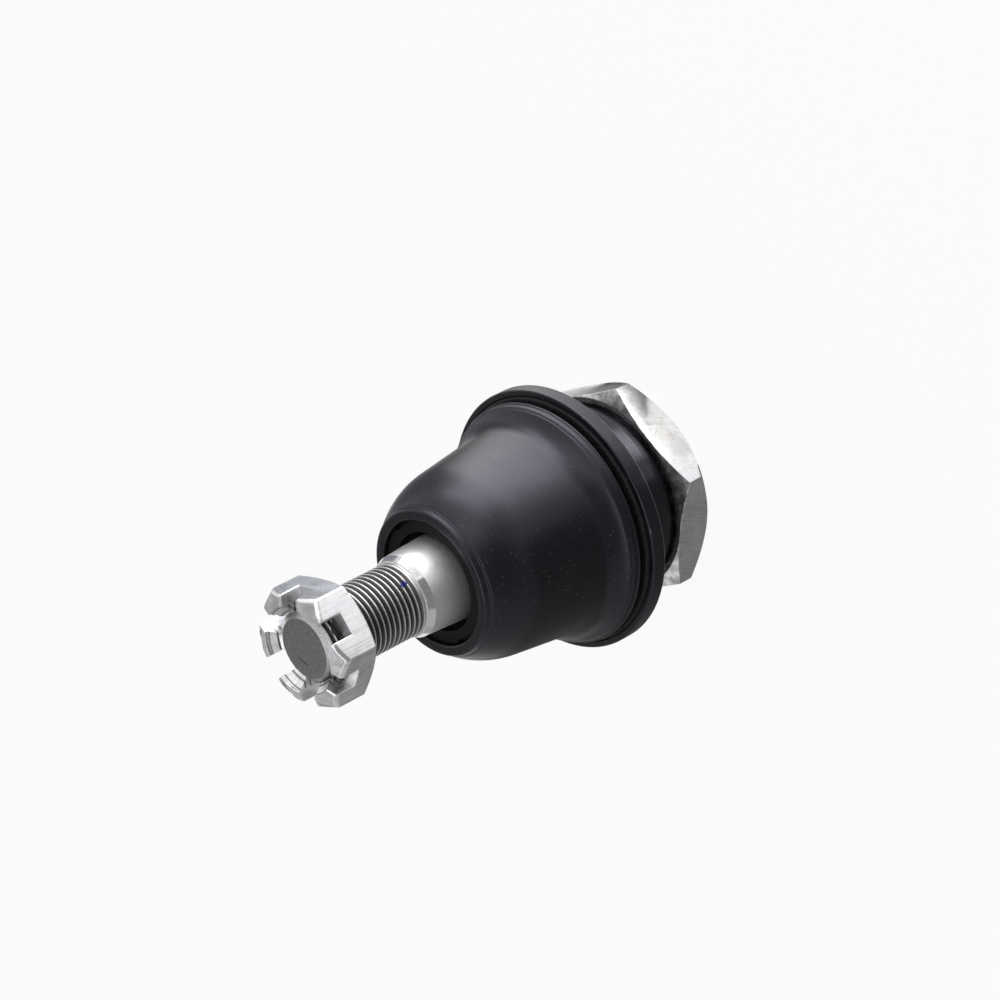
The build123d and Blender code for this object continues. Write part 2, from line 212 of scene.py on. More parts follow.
# Camera fitted to the circles in the photograph, with its turns in degrees
CAMERA_PLACE = (-26.88, -556.01, 471.82)
CAMERA_AZIMUTH = -3.784
CAMERA_ELEVATION = 37.845
CAMERA_ROLL = -116.771
CAMERA_LENS = 108.0
CAMERA_SENSOR = 36.0


# Outlines and turned meshes

def rounded(corners, steps=4):
    """A closed outline from (radius, height, round) corners: points with 1 on each rounded outer edge."""
    points = []
    count = len(corners)
    for index, (radius, height, round_size) in enumerate(corners):
        here = Vector((radius, height))
        before = Vector(corners[index - 1][:2]) - here
        after = Vector(corners[(index + 1) % count][:2]) - here
        if round_size == 0:
            points.append((here, 0.0))
            continue
        before.normalize()
        after.normalize()
        half = before.angle(after) / 2
        middle = here + (before + after).normalized() * round_size / sin(half)
        start = here + before * round_size / tan(half) - middle
        end = here + after * round_size / tan(half) - middle
        sweep = pi - 2 * half
        outer = 1.0 if before.cross(after) < 0 else 0.0
        for step in range(steps + 1):
            share = step / steps
            spoke = (start * sin((1 - share) * sweep) + end * sin(share * sweep)) / sin(sweep)
            points.append((middle + spoke, outer * sin(pi * share)))
    return points


def plain(points):
    """Outline points that lie on no rounded edge."""
    return [(Vector(point), 0.0) for point in points]


def tangent_arc(start, end, direction, steps):
    """Points after start, up to end, on the arc that leaves start in a direction."""
    start = Vector(start)
    chord = Vector(end) - start
    along = Vector(direction).normalized()
    side = Vector((-along.y, along.x))
    radius = chord.length_squared / (2 * chord.dot(side))
    centre = start + side * radius
    spoke = start - centre
    sweep = spoke.angle_signed(Vector(end) - centre)
    turns = [Matrix.Rotation(-sweep * step / steps, 2) for step in range(1, steps + 1)]
    return [centre + turn @ spoke for turn in turns]


def fine_grooves(start, end, shares, depth):
    """Fine grooves across a straight stretch of an outline, three points each."""
    along = (end - start).normalized()
    inwards = Vector((-along.y, along.x)) * depth
    points = []
    for share in shares:
        line = start.lerp(end, share)
        points += [line - along * depth, line + inwards, line + along * depth]
    return points


def divided(outline, longest):
    """The outline with points added where a run is longer than a length."""
    points = []
    for index, (point, edge) in enumerate(outline):
        following = outline[(index + 1) % len(outline)][0]
        parts = max(1, ceil((following - point).length / longest))
        points.append((point, edge))
        points += [(point.lerp(following, part / parts), 0.0) for part in range(1, parts)]
    return points


@contextmanager
def edited(mesh):
    """A mesh opened for changes, which are written back afterwards."""
    shape = bmesh.new()
    shape.from_mesh(mesh)
    yield shape
    shape.to_mesh(mesh)
    shape.free()


def store(mesh, name, values):
    """Stores one value per vertex on a mesh."""
    share = mesh.attributes.new(name, "FLOAT", "POINT")
    share.data.foreach_set("value", np.array(values, np.float32))


def new_piece(name, vertices, faces, **shares):
    """A mesh object in metres from millimetre points, with one value per vertex for each named share."""
    mesh = bpy.data.meshes.new(name)
    mesh.from_pydata([Vector(vertex) * MM for vertex in vertices], [], faces)
    for share_name, values in shares.items():
        store(mesh, share_name, values)
    with edited(mesh) as shape:
        bmesh.ops.remove_doubles(shape, verts=shape.verts, dist=MM * WELD_DISTANCE)
    mesh.shade_smooth()
    piece = bpy.data.objects.new(name, mesh)
    bpy.context.scene.collection.objects.link(piece)
    return piece


def turned(name, outline, columns=TURNED_COLUMNS):
    """A piece turned about Z from a closed outline of (point, edge) pairs."""
    vertices, faces, edges = [], [], []
    for point, edge in outline:
        for column in range(columns):
            angle = FULL_TURN * column / columns
            vertices.append((point.x * cos(angle), point.x * sin(angle), point.y))
            edges.append(edge)
    for row in range(len(outline)):
        here = row * columns
        above = (row + 1) % len(outline) * columns
        for column in range(columns):
            beside = (column + 1) % columns
            faces.append((here + column, here + beside, above + beside, above + column))
    return new_piece(name, vertices, faces, edge=edges)


def keep_corners(piece):
    """Corners that aren't rounded stay sharp in the light."""
    with edited(piece.data) as shape:
        for edge in shape.edges:
            if len(edge.link_faces) == 2:
                edge.smooth = edge.calc_face_angle() < radians(SHADED_CORNER)
    return piece


def even_normals(piece):
    """Flat faces stay flat in the light, and only the rounded edges turn."""
    weights = piece.modifiers.new("even_normals", "WEIGHTED_NORMAL")
    weights.keep_sharp = True
    return piece


# Threads

def helical_rows(bottom, top, column, columns):
    """Heights and depth shares of one column of a right-hand thread, held within bottom and top."""
    turns = ceil((top - bottom) / THREAD_PITCH) + 3
    rows = []
    for turn in range(turns):
        for place, depth in THREAD_ROW_SHARES:
            lift = (turn + place + column / columns - THREAD_LEAD) * THREAD_PITCH
            rows.append((min(max(bottom + lift, bottom), top), depth))
    return rows


def threaded(name, below, above, bottom, top, radius_at, columns=THREAD_COLUMNS):
    """A piece turned from below, through a thread between two heights, to above, each from axis to axis.

    below and above are (radius, height, edge) points. radius_at(height, depth) gives radius and groove."""
    vertices, faces, grooves, edges = [], [], [], []
    for column in range(columns):
        angle = FULL_TURN * column / columns
        points = [(radius, height, 0.0, edge) for radius, height, edge in below]
        for height, depth in helical_rows(bottom, top, column, columns):
            radius, groove = radius_at(height, depth)
            points.append((radius, height, groove, 0.0))
        points += [(radius, height, 0.0, edge) for radius, height, edge in above]
        for radius, height, groove, edge in points:
            vertices.append((radius * cos(angle), radius * sin(angle), height))
            grooves.append(groove)
            edges.append(edge)
    rows = len(points)
    first = len(below)
    last = rows - len(above) - 1

    def partner(row, column):
        """The vertex beside a row in the next column, one turn further up across the seam."""
        beside = (column + 1) % columns
        if beside == 0 and first <= row <= last:
            row = min(row + len(THREAD_ROW_SHARES), last)
        return beside * rows + row

    for column in range(columns):
        for row in range(rows - 1):
            here = column * rows + row
            faces.append((here, partner(row, column), partner(row + 1, column), here + 1))
    return new_piece(name, vertices, faces, groove=grooves, edge=edges)


# Cutting and rounding

def solid_copy(piece):
    """The piece with its modifiers applied to its mesh."""
    bpy.context.view_layer.update()
    shown = piece.evaluated_get(bpy.context.evaluated_depsgraph_get())
    mesh = bpy.data.meshes.new_from_object(shown)
    piece.modifiers.clear()
    piece.data = mesh
    return piece


def cut(piece, tool, operation="DIFFERENCE"):
    """The piece cut by a tool, which is then thrown away."""
    knife = piece.modifiers.new("cut", "BOOLEAN")
    knife.operation = operation
    knife.object = tool
    knife.solver = "EXACT"
    solid_copy(piece)
    bpy.data.objects.remove(tool)
    with edited(piece.data) as shape:
        bmesh.ops.dissolve_degenerate(shape, edges=shape.edges, dist=MM * SLIVER_LENGTH)


def turned_tool(name, outline, columns=TOOL_COLUMNS):
    """A turned cutting tool from plain (radius, height) points."""
    return turned(name, plain(outline), columns)


def hexagon_bar(name, apothem, bottom, top, turn):
    """A hexagonal bar with one edge at the angle turn, in degrees, from X."""
    corner = apothem / cos(pi / 6)
    angles = [radians(turn) + FULL_TURN * index / 6 for index in range(6)]
    ring = [(corner * cos(angle), corner * sin(angle)) for angle in angles]
    vertices = [(x, y, height) for height in (bottom, top) for x, y in ring]
    faces = [(index, (index + 1) % 6, 6 + (index + 1) % 6, 6 + index) for index in range(6)]
    faces += [(5, 4, 3, 2, 1, 0), (6, 7, 8, 9, 10, 11)]
    return new_piece(name, vertices, faces)


ROUND = 1


def round_edges(piece, width, inside, below):
    """Rounds the sharp outer edges outside a radius and below a height, and numbers their faces ROUND."""
    while len(piece.data.materials) <= ROUND:
        piece.data.materials.append(None)
    with edited(piece.data) as shape:
        weights = shape.edges.layers.float.new("bevel_weight_edge")
        for edge in shape.edges:
            outside = all(vertex.co.xy.length > inside * MM for vertex in edge.verts)
            under = any(vertex.co.z < below * MM for vertex in edge.verts)
            convex = len(edge.link_faces) == 2 and edge.is_convex
            sharp = convex and edge.calc_face_angle() > radians(ROUNDED_CORNER)
            edge[weights] = 1.0 if outside and under and sharp else 0.0
    bevel = piece.modifiers.new("soft_edges", "BEVEL")
    bevel.width = width * MM
    bevel.segments = 4
    bevel.limit_method = "WEIGHT"
    bevel.use_clamp_overlap = False
    bevel.material = ROUND
    return solid_copy(piece)


def mark_rounds(piece):
    """Marks the rounded edges for the wear in the finish."""
    marks = np.ones(len(piece.data.vertices), np.float32)
    for face in piece.data.polygons:
        if face.material_index != ROUND:
            marks[list(face.vertices)] = 0.0
        face.material_index = 0
    store(piece.data, "edge", marks)
    piece.data.materials.clear()
    piece.data.shade_smooth()
    return piece


# Pieces

def make_housing():
    """Flange with its lip and recess, journal, pilot and rear end, with softened edges."""
    low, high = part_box("housing")
    bottom, top, flange = low.z / MM, high.z / MM, high.x / MM
    thread = REAR_THREAD_RADIUS
    outline = rounded((
        (END_BORE, bottom, 0.2),
        (thread - THREAD_START_CHAMFER, bottom, 0.15),
        (thread, bottom + THREAD_START_CHAMFER, 0.15),
        (thread, PILOT_BOTTOM, 0.2),
        (PILOT_RADIUS, PILOT_BOTTOM, 0.2),
        (PILOT_RADIUS, SHOULDER_HEIGHT, 0.4),
        (JOURNAL_RADIUS - JOURNAL_CHAMFER, SHOULDER_HEIGHT, 0.2),
        (JOURNAL_RADIUS, SHOULDER_HEIGHT + JOURNAL_CHAMFER, 0.2),
        (JOURNAL_RADIUS, FLANGE_REAR, 0.5),
        (flange, FLANGE_REAR, 0.28),
        (flange, FLANGE_FRONT, 0.45),
        (RECESS_RADIUS, FLANGE_FRONT, 0.25),
        (RECESS_RADIUS, RECESS_FLOOR, 0.3),
        (BOSS_RADIUS, RECESS_FLOOR, 0.3),
        (BOSS_RADIUS, top, 0.8),
        (MOUTH_FLARE_RADIUS, top, 0.4),
        (MOUTH_RADIUS, MOUTH_WALL_BOTTOM, 0.15),
        (CAVITY_RADIUS, MOUTH_WALL_BOTTOM, 0.15),
        (CAVITY_RADIUS, COVER_STEP, 0.15),
        (END_BORE, COVER_STEP, 0.15),
        (END_BORE, COVER_BOTTOM, 0.1),
        (SNAP_GROOVE_RADIUS, COVER_BOTTOM, 0.1),
        (SNAP_GROOVE_RADIUS, SNAP_GROOVE_BOTTOM, 0.1),
        (END_BORE, SNAP_GROOVE_BOTTOM, 0.1),
    ))
    piece = even_normals(turned("housing_forging", outline, FORGING_COLUMNS))
    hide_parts("housing")
    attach(piece, "housing")
    return piece


def make_dust_boot():
    """Rubber bell with a bead, a flared skirt edge, a conical side, a shoulder and a rounded mouth."""
    low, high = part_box("dust_boot")
    bottom, top = low.z / MM, high.z / MM
    rim, skirt, waist, belly = Vector(RIM), Vector(SKIRT), Vector(WAIST), Vector(BELLY)
    side = belly - waist
    inwards = Vector((-BOOT_WALL, 0))
    lip_start = (BOOT_MOUTH_RADIUS, top - BOOT_LIP_ROUND)
    bead = rounded((
        (BEAD_INNER, bottom, 0.0),
        (BEAD_OUTER, bottom, 0.3),
        (BEAD_OUTER, BEAD_TOP, 0.2),
        (*rim, 0.2),
        (*skirt, 0.0),
        (BEAD_INNER, skirt.y, 0.0),
    ))[:-2]
    rim_lines = fine_grooves(rim, skirt, RIM_LINE_SHARES, RIM_GROOVE)
    outer_wall = [waist, *tangent_arc(waist, SKIRT, -side, 12)]
    shoulder = [belly, *tangent_arc(belly, lip_start, side, 14)]
    lip_lines = fine_grooves(shoulder[-2], shoulder[-1], LIP_LINE_SHARES, LIP_GROOVE)
    lip = rounded((
        (*lip_start, 0.0),
        (BOOT_MOUTH_RADIUS - BOOT_LIP_LEAN, top, BOOT_LIP_ROUND * 0.7),
        (BOOT_BORE, top, BOOT_BORE_ROUND),
        (BOOT_BORE, top - BOOT_LIP_ROUND, 0.0),
    ), 6)[1:]
    inner_wall = [belly + inwards, *tangent_arc(belly + inwards, (BOOT_BORE, COLLAR_BOTTOM), side, 10)]
    inner_end = [waist + inwards, Vector((BEAD_INNER, BEAD_TOP + BOOT_WALL))]
    outer_points = rim_lines + outer_wall[::-1] + shoulder[:-1] + lip_lines + shoulder[-1:]
    outline = bead + plain(outer_points) + lip + plain(inner_wall[::-1] + inner_end)
    piece = turned("rubber_dust_boot", divided(outline, BOOT_ROW_LENGTH))
    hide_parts("dust_boot")
    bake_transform(piece)
    return piece


def make_stud():
    """Ball, neck, ground taper and step, real thread, chamfered end and cotter hole."""
    low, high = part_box("ball_stud")
    bottom, top = low.z / MM, high.z / MM
    neck_start = BALL_HEIGHT + sqrt(BALL_RADIUS**2 - NECK_RADIUS**2)
    neck_end = neck_start + NECK_LENGTH
    below = [(0.0, bottom, 0.0), (BALL_FLAT_RADIUS, bottom, 0.0)]
    flat_angle = -np.arccos(BALL_FLAT_RADIUS / BALL_RADIUS)
    neck_angle = np.arccos(NECK_RADIUS / BALL_RADIUS)
    for angle in np.linspace(flat_angle, neck_angle, BALL_STEPS):
        below.append((BALL_RADIUS * cos(angle), BALL_HEIGHT + BALL_RADIUS * sin(angle), 0.0))
    for share in np.linspace(0, 1, NECK_STEPS):
        swell = share * share * (3 - 2 * share)
        radius = NECK_RADIUS + (TAPER_LARGE_RADIUS - NECK_RADIUS) * swell
        below.append((radius, neck_end + (TAPER_BOTTOM - neck_end) * share, 0.0))
    shank = rounded((
        (0.0, TAPER_BOTTOM, 0.0),
        (TAPER_LARGE_RADIUS, TAPER_BOTTOM, 0.0),
        (TAPER_SMALL_RADIUS, TAPER_TOP, STEP_ROUND),
        (STEP_RADIUS, STEP_TOP, STEP_ROUND),
        (STUD_THREAD_RADIUS, STEP_TOP, 0.0),
        (0.0, STEP_TOP, 0.0),
    ), 3)[2:-2]
    below += [(point.x, point.y, edge) for point, edge in shank]
    below.append((STUD_THREAD_RADIUS, STEP_TOP, 0.0))
    above = [
        (STUD_END_RADIUS - STUD_END_EDGE, top, 1.0),
        (STUD_END_RADIUS - STUD_END_EDGE_FADE, top, 0.0),
        (STUD_END_RADIUS / 2, top, 0.0),
        (0.0, top, 0.0),
    ]
    slope = (STUD_THREAD_RADIUS - STUD_END_RADIUS) / STUD_END_CHAMFER

    def radius_at(height, depth):
        groove = depth * min(1.0, (height - STEP_TOP) / (THREAD_RUN_IN * THREAD_PITCH))
        thread = STUD_THREAD_RADIUS - groove * THREAD_DEPTH
        chamfer = STUD_END_RADIUS + (top - height) * slope
        return (chamfer, 0.0) if chamfer < thread else (thread, groove)

    piece = threaded("tapered_ball_stud", below, above, STEP_TOP, top, radius_at)
    hole = turned_tool("cotter_hole_tool", (
        (0.0, -COTTER_HOLE_REACH),
        (COTTER_HOLE_RADIUS, -COTTER_HOLE_REACH),
        (COTTER_HOLE_RADIUS, COTTER_HOLE_REACH),
        (0.0, COTTER_HOLE_REACH),
    ), HOLE_COLUMNS)
    across = Matrix.Rotation(pi / 2, 4, "X")
    hole.data.transform(Matrix.Translation((0, 0, COTTER_HOLE_HEIGHT * MM)) @ across)
    cut(piece, hole)
    even_normals(piece)
    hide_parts("ball_stud")
    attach(piece, "stud")
    return piece


def make_lock_nut():
    """Large thin hexagon with a shallow front chamfer and a steep rear one."""
    low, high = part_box("lock_nut")
    bottom, top = low.z / MM, high.z / MM
    far = LOCK_NUT_APOTHEM / cos(pi / 6) + TOOL_MARGIN
    bore = REAR_THREAD_RADIUS + THREAD_CLEARANCE
    bar_ends = (bottom - TOOL_MARGIN, top + TOOL_MARGIN)
    piece = hexagon_bar("hexagon_lock_nut", LOCK_NUT_APOTHEM, *bar_ends, LOCK_NUT_TURN)
    cut(piece, turned_tool("chamfer_tool", (
        (bore, bottom),
        (LOCK_NUT_REAR_RADIUS, bottom),
        (far, bottom + (far - LOCK_NUT_REAR_RADIUS) * tan(radians(LOCK_NUT_REAR_SLOPE))),
        (far, top - (far - LOCK_NUT_WASHER_RADIUS) * tan(radians(LOCK_NUT_FRONT_SLOPE))),
        (LOCK_NUT_WASHER_RADIUS, top),
        (bore, top),
    )), "INTERSECT")
    round_edges(piece, LOCK_NUT_EDGE, bore + LOCK_NUT_BORE_MARGIN, top + TOOL_MARGIN)
    even_normals(mark_rounds(piece))
    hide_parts("lock_nut")
    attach(piece, "housing")
    return piece


def even_run(start, end, count):
    """Points at even steps from start to end, without the end."""
    return [start.lerp(end, step / count) for step in range(count)]


def bend(start, corner, end, count):
    """Points on a smooth bend round a corner, without the end."""
    shares = [step / count for step in range(count)]
    return [start.lerp(corner, share).lerp(corner.lerp(end, share), share) for share in shares]


def prong_outline(apothem, half_slot, foot_radius):
    """A prong seen from above with its corner on X: wall, flat, corner, flat and wall, from foot to foot."""
    along = Vector((cos(pi / 6), sin(pi / 6)))
    across = Vector((sin(pi / 6), -cos(pi / 6)))
    foot = along * sqrt(foot_radius**2 - half_slot**2) + across * half_slot
    wall_end = along * apothem + across * half_slot
    corner = Vector((apothem / cos(pi / 6), 0))
    flat = (corner - wall_end).normalized()
    wall_stop = wall_end - along * PRONG_WALL_ROUND
    flat_start = wall_end + flat * PRONG_WALL_ROUND
    flat_stop = corner - flat * CASTLE_NUT_EDGE
    half = even_run(foot, wall_stop, 4) + bend(wall_stop, wall_end, flat_start, 4)
    half += even_run(flat_start, flat_stop, 6)
    mirrored = [Vector((point.x, -point.y)) for point in half]
    tip_start = Vector((flat_stop.x, -flat_stop.y))
    tip = bend(tip_start, corner, flat_stop, 6)
    return mirrored + tip + [flat_stop] + half[::-1]


def nut_thread(height, angle):
    """The nut's bore radius at a height and an angle on its thread."""
    place = (height / THREAD_PITCH - angle / FULL_TURN) % 1.0
    depth = min(max((NUT_THREAD_HALF - abs(place - 0.5)) / NUT_THREAD_FLANK, 0.0), 1.0)
    return STUD_THREAD_RADIUS + THREAD_CLEARANCE - THREAD_DEPTH * depth


def prong_height(radius, share, floor, top):
    """The height of a share of the way up a prong, whose end slopes down outwards and at its corner."""
    crown_drop = max(radius - CASTLE_CROWN_RADIUS, 0.0) * tan(radians(CASTLE_CROWN_SLOPE))
    corner_drop = max(radius - PRONG_CORNER_RADIUS, 0.0) * tan(radians(PRONG_CORNER_SLOPE))
    end = top - crown_drop - corner_drop - PRONG_ROUND
    return floor + (end - floor) * share


def prong_ring(middle, share, turn, floor, top):
    """The points round a prong at a share of its height, or at a turn of the round on its end."""
    inset = 1 - cos(turn)
    lift = PRONG_ROUND * sin(turn)
    inner_height = prong_height(CASTLE_CROWN_RADIUS, share, floor, top) + lift
    countersink = CASTLE_CROWN_RADIUS - (top - PRONG_ROUND - floor) * (1 - share)

    def bore_at(angle):
        return max(nut_thread(inner_height, middle + angle), countersink) + inset * PRONG_WALL_ROUND

    wall = CASTLE_SLOT_WIDTH / 2 + inset * PRONG_WALL_ROUND
    foot_radius = bore_at(pi / 6 - wall / STUD_THREAD_RADIUS)
    outline = prong_outline(CASTLE_NUT_APOTHEM - inset * PRONG_ROUND, wall, foot_radius)
    last = outline[-1].angle_signed(Vector((1, 0)))
    for step in range(1, PRONG_INNER_STEPS):
        angle = last * (1 - 2 * step / PRONG_INNER_STEPS)
        radius = bore_at(angle)
        outline.append(Vector((radius * cos(angle), radius * sin(angle))))
    ring = []
    for point in outline:
        radius = point.length
        angle = middle + np.arctan2(point.y, point.x)
        height = prong_height(radius, share, floor, top) + lift
        ring.append((radius * cos(angle), radius * sin(angle), height))
    return ring


def make_prongs(floor, top):
    """The crown's six prongs: sloped ends with rounded edges, threaded inside, countersunk at the end."""
    levels = [(share, 0.0) for share in np.linspace(0, 1, PRONG_LEVELS)]
    levels += [(1.0, turn) for turn in np.linspace(0, pi / 2, PRONG_ROUND_LEVELS + 1)[1:]]
    vertices, faces, edges = [], [], []
    for prong in range(SLOT_COUNT):
        starts = []
        for share, turn in levels:
            ring = prong_ring(FULL_TURN * prong / SLOT_COUNT, share, turn, floor, top)
            starts.append(len(vertices))
            vertices += ring
            edges += [sin(2 * turn)] * len(ring)
        count = len(ring)
        for low, high in zip(starts, starts[1:]):
            for index in range(count):
                beside = (index + 1) % count
                faces.append((low + index, low + beside, high + beside, high + index))
        faces.append(tuple(starts[-1] + index for index in range(count)))
    return new_piece("castle_nut_prongs", vertices, faces, edge=edges)


def inner_thread_tool(name, radius, bottom, top):
    """A threaded rod that cuts the thread into a nut's bore."""
    def radius_at(height, depth):
        run_out = min(1.0, min(height - bottom, top - height) / (THREAD_RUN_OUT * THREAD_PITCH))
        return radius - THREAD_DEPTH + (1 - depth) * THREAD_DEPTH * run_out, 0.0

    below = [(0.0, bottom, 0.0), (radius - THREAD_DEPTH, bottom, 0.0)]
    above = [(radius - THREAD_DEPTH, top, 0.0), (0.0, top, 0.0)]
    return threaded(name, below, above, bottom, top, radius_at, INNER_THREAD_COLUMNS)


def make_castle_nut():
    """Slotted hexagon nut: a threaded hexagon ring below the slots, and the prongs that stand on it."""
    low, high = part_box("castle_nut")
    bottom, top = low.z / MM, high.z / MM
    far = high.x / MM + TOOL_MARGIN
    floor = top - CASTLE_SLOT_DEPTH
    bore = STUD_THREAD_RADIUS - THREAD_DEPTH + CASTLE_BORE_OVERCUT
    thread_radius = STUD_THREAD_RADIUS + THREAD_CLEARANCE
    rear_radius = CASTLE_NUT_APOTHEM - CASTLE_REAR_INSET
    piece = hexagon_bar("castle_nut_forging", CASTLE_NUT_APOTHEM, bottom - TOOL_MARGIN, floor, 0.0)
    cut(piece, turned_tool("ring_tool", (
        (bore, bottom),
        (rear_radius, bottom),
        (far, bottom + (far - rear_radius) * tan(radians(CASTLE_REAR_SLOPE))),
        (far, top),
        (bore, top),
    )), "INTERSECT")
    cut(piece, inner_thread_tool("thread_tool", thread_radius, bottom - TOOL_MARGIN, top))
    round_edges(piece, CASTLE_NUT_EDGE, CASTLE_CROWN_RADIUS, floor - CASTLE_FLOOR_MARGIN)
    mark_rounds(piece)
    prongs = make_prongs(floor, top)
    with bpy.context.temp_override(active_object=piece, selected_editable_objects=[piece, prongs]):
        bpy.ops.object.join()
    even_normals(keep_corners(piece))
    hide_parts("castle_nut")
    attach(piece, "stud")
    return piece


def soften_cad_edges(node):
    """A carried-over piece keeps its shape and gets small rounds on its sharp edges."""
    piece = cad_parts[node]
    weld = piece.modifiers.new("joined_faces", "WELD")
    weld.merge_threshold = MM * CAD_WELD
    bevel = piece.modifiers.new("soft_edges", "BEVEL")
    bevel.width = CAD_EDGE * MM
    bevel.segments = 2
    bevel.limit_method = "ANGLE"
    bevel.angle_limit = radians(CAD_CORNER)
    return even_normals(piece)


# Shader nodes

def set_inputs(tree, node, inputs):
    """Links or sets each named input of a node."""
    for name, value in inputs.items():
        if isinstance(value, bpy.types.NodeSocket):
            tree.links.new(value, node.inputs[name])
        else:
            node.inputs[name].default_value = value


def add(tree, kind, inputs, **settings):
    """A node with its settings, and with its inputs set or linked."""
    made = tree.nodes.new(kind)
    for name, value in settings.items():
        setattr(made, name, value)
    set_inputs(tree, made, inputs)
    return made


def maths(tree, operation, first, second=0.0):
    """The result of a Math node."""
    return add(tree, "ShaderNodeMath", {0: first, 1: second}, operation=operation).outputs[0]


def times(tree, first, *others):
    """Values multiplied together."""
    for other in others:
        first = maths(tree, "MULTIPLY", first, other)
    return first


def plus(tree, first, second):
    """Two values added."""
    return maths(tree, "ADD", first, second)


def rest_of(tree, share):
    """What a share leaves of 1."""
    return maths(tree, "SUBTRACT", 1.0, share)


def over(tree, value, level):
    """1 where a value is over a level."""
    return maths(tree, "GREATER_THAN", value, level)


def under(tree, value, level):
    """1 where a value is under a level."""
    return maths(tree, "LESS_THAN", value, level)


def between(tree, value, low, high, out_low=0.0, out_high=1.0):
    """A value brought from one range to another and held there."""
    return add(tree, "ShaderNodeMapRange", {
        "Value": value, "From Min": low, "From Max": high, "To Min": out_low, "To Max": out_high,
    }).outputs["Result"]


def vector_maths(tree, operation, first, second=(0, 0, 0)):
    """The result of a Vector Math node: a value where it measures something, and else a vector."""
    result = "Value" if operation in ("LENGTH", "DISTANCE", "DOT_PRODUCT") else "Vector"
    return add(tree, "ShaderNodeVectorMath", {0: first, 1: second}, operation=operation).outputs[result]


def scaled(tree, vector, share):
    """A vector made longer or shorter."""
    return add(tree, "ShaderNodeVectorMath", {0: vector, "Scale": share}, operation="SCALE").outputs[0]


def parts_of(tree, vector):
    """A vector's three parts."""
    return add(tree, "ShaderNodeSeparateXYZ", {0: vector}).outputs


def vector_of(tree, x, y, z=0.0):
    """A vector from its parts."""
    return add(tree, "ShaderNodeCombineXYZ", {0: x, 1: y, 2: z}).outputs[0]


def noise(tree, vector, scale, detail, roughness=0.5):
    """The level of a noise texture at a point."""
    return add(tree, "ShaderNodeTexNoise", {
        "Vector": vector, "Scale": scale, "Detail": detail, "Roughness": roughness,
    }).outputs["Fac"]


def with_alpha(colour):
    """A plain colour with its alpha, or a socket as it is."""
    return (*colour, 1) if isinstance(colour, tuple) else colour


def mixed(tree, share, first, second):
    """Two colours mixed by a share."""
    inputs = {0: share, 6: with_alpha(first), 7: with_alpha(second)}
    return add(tree, "ShaderNodeMix", inputs, data_type="RGBA").outputs[2]


def layered(tree, colour, *layers):
    """A colour with (share, colour) layers over it, the lowest first."""
    for share, layer in layers:
        colour = mixed(tree, share, colour, layer)
    return colour


# Effects that several finishes share

def new_group(name, output, inputs):
    """A node group that takes a point and named values: the group, its inputs and its one output."""
    group = bpy.data.node_groups.new(name, "ShaderNodeTree")
    group.interface.new_socket(name="Vector", in_out="INPUT", socket_type="NodeSocketVector")
    for socket, value in inputs.items():
        made = group.interface.new_socket(name=socket, in_out="INPUT", socket_type="NodeSocketFloat")
        made.default_value = value
    group.interface.new_socket(name=output, in_out="OUTPUT", socket_type="NodeSocketFloat")
    source = group.nodes.new("NodeGroupInput").outputs
    return group, source, group.nodes.new("NodeGroupOutput").inputs[output]


def make_turning_marks():
    """Fine circular lines that a lathe leaves, on walls and end faces alike."""
    group, source, result = new_group("Turning marks", "Height", {"Lines per metre": 4000.0})
    parts = parts_of(group, source["Vector"])
    flat = vector_of(group, parts[0], parts[1])
    along = plus(group, parts[2], vector_maths(group, "LENGTH", flat))
    across = times(group, along, source["Lines per metre"])
    place = parts_of(group, scaled(group, flat, 60.0))
    marks = noise(group, vector_of(group, across, place[0], place[1]), 1.0, 3.0)
    group.links.new(marks, result)
    return group


def make_mottle():
    """Soft uneven patches between two levels."""
    group, source, result = new_group("Mottle", "Value", {"Scale": 200.0, "Low": 0.35, "High": 0.65})
    level = noise(group, source["Vector"], source["Scale"], 5.0, 0.6)
    group.links.new(between(group, level, source["Low"], source["High"]), result)
    return group


def make_specks():
    """Scattered dust specks of uneven size and strength."""
    group, source, result = new_group("Dust specks", "Mask", {"Scale": 500.0, "Size": 0.12, "Share": 0.15})
    spread = {"Vector": source["Vector"], "Scale": source["Scale"]}
    cells = add(group, "ShaderNodeTexVoronoi", spread).outputs
    draw = add(group, "ShaderNodeSeparateColor", {0: cells["Color"]}).outputs
    chosen = under(group, draw[0], source["Share"])
    inside = under(group, cells["Distance"], times(group, draw[1], source["Size"]))
    strength = between(group, draw[2], 0.0, 1.0, 0.15, 1.0)
    group.links.new(times(group, chosen, inside, strength), result)
    return group


def make_edge_wear():
    """Broken wear along marked edges."""
    group, source, result = new_group("Edge wear", "Mask", {"Edge": 0.0, "Scale": 900.0, "Amount": 0.5})
    level = noise(group, source["Vector"], source["Scale"], 4.0)
    floor_level = maths(group, "SUBTRACT", 0.75, source["Amount"])
    broken = between(group, level, floor_level, plus(group, floor_level, 0.25))
    group.links.new(times(group, broken, source["Edge"]), result)
    return group


def make_fine_grain():
    """Even fine roughness in the surface."""
    group, source, result = new_group("Fine grain", "Height", {"Scale": 3000.0})
    group.links.new(noise(group, source["Vector"], source["Scale"], 2.0, 0.7), result)
    return group


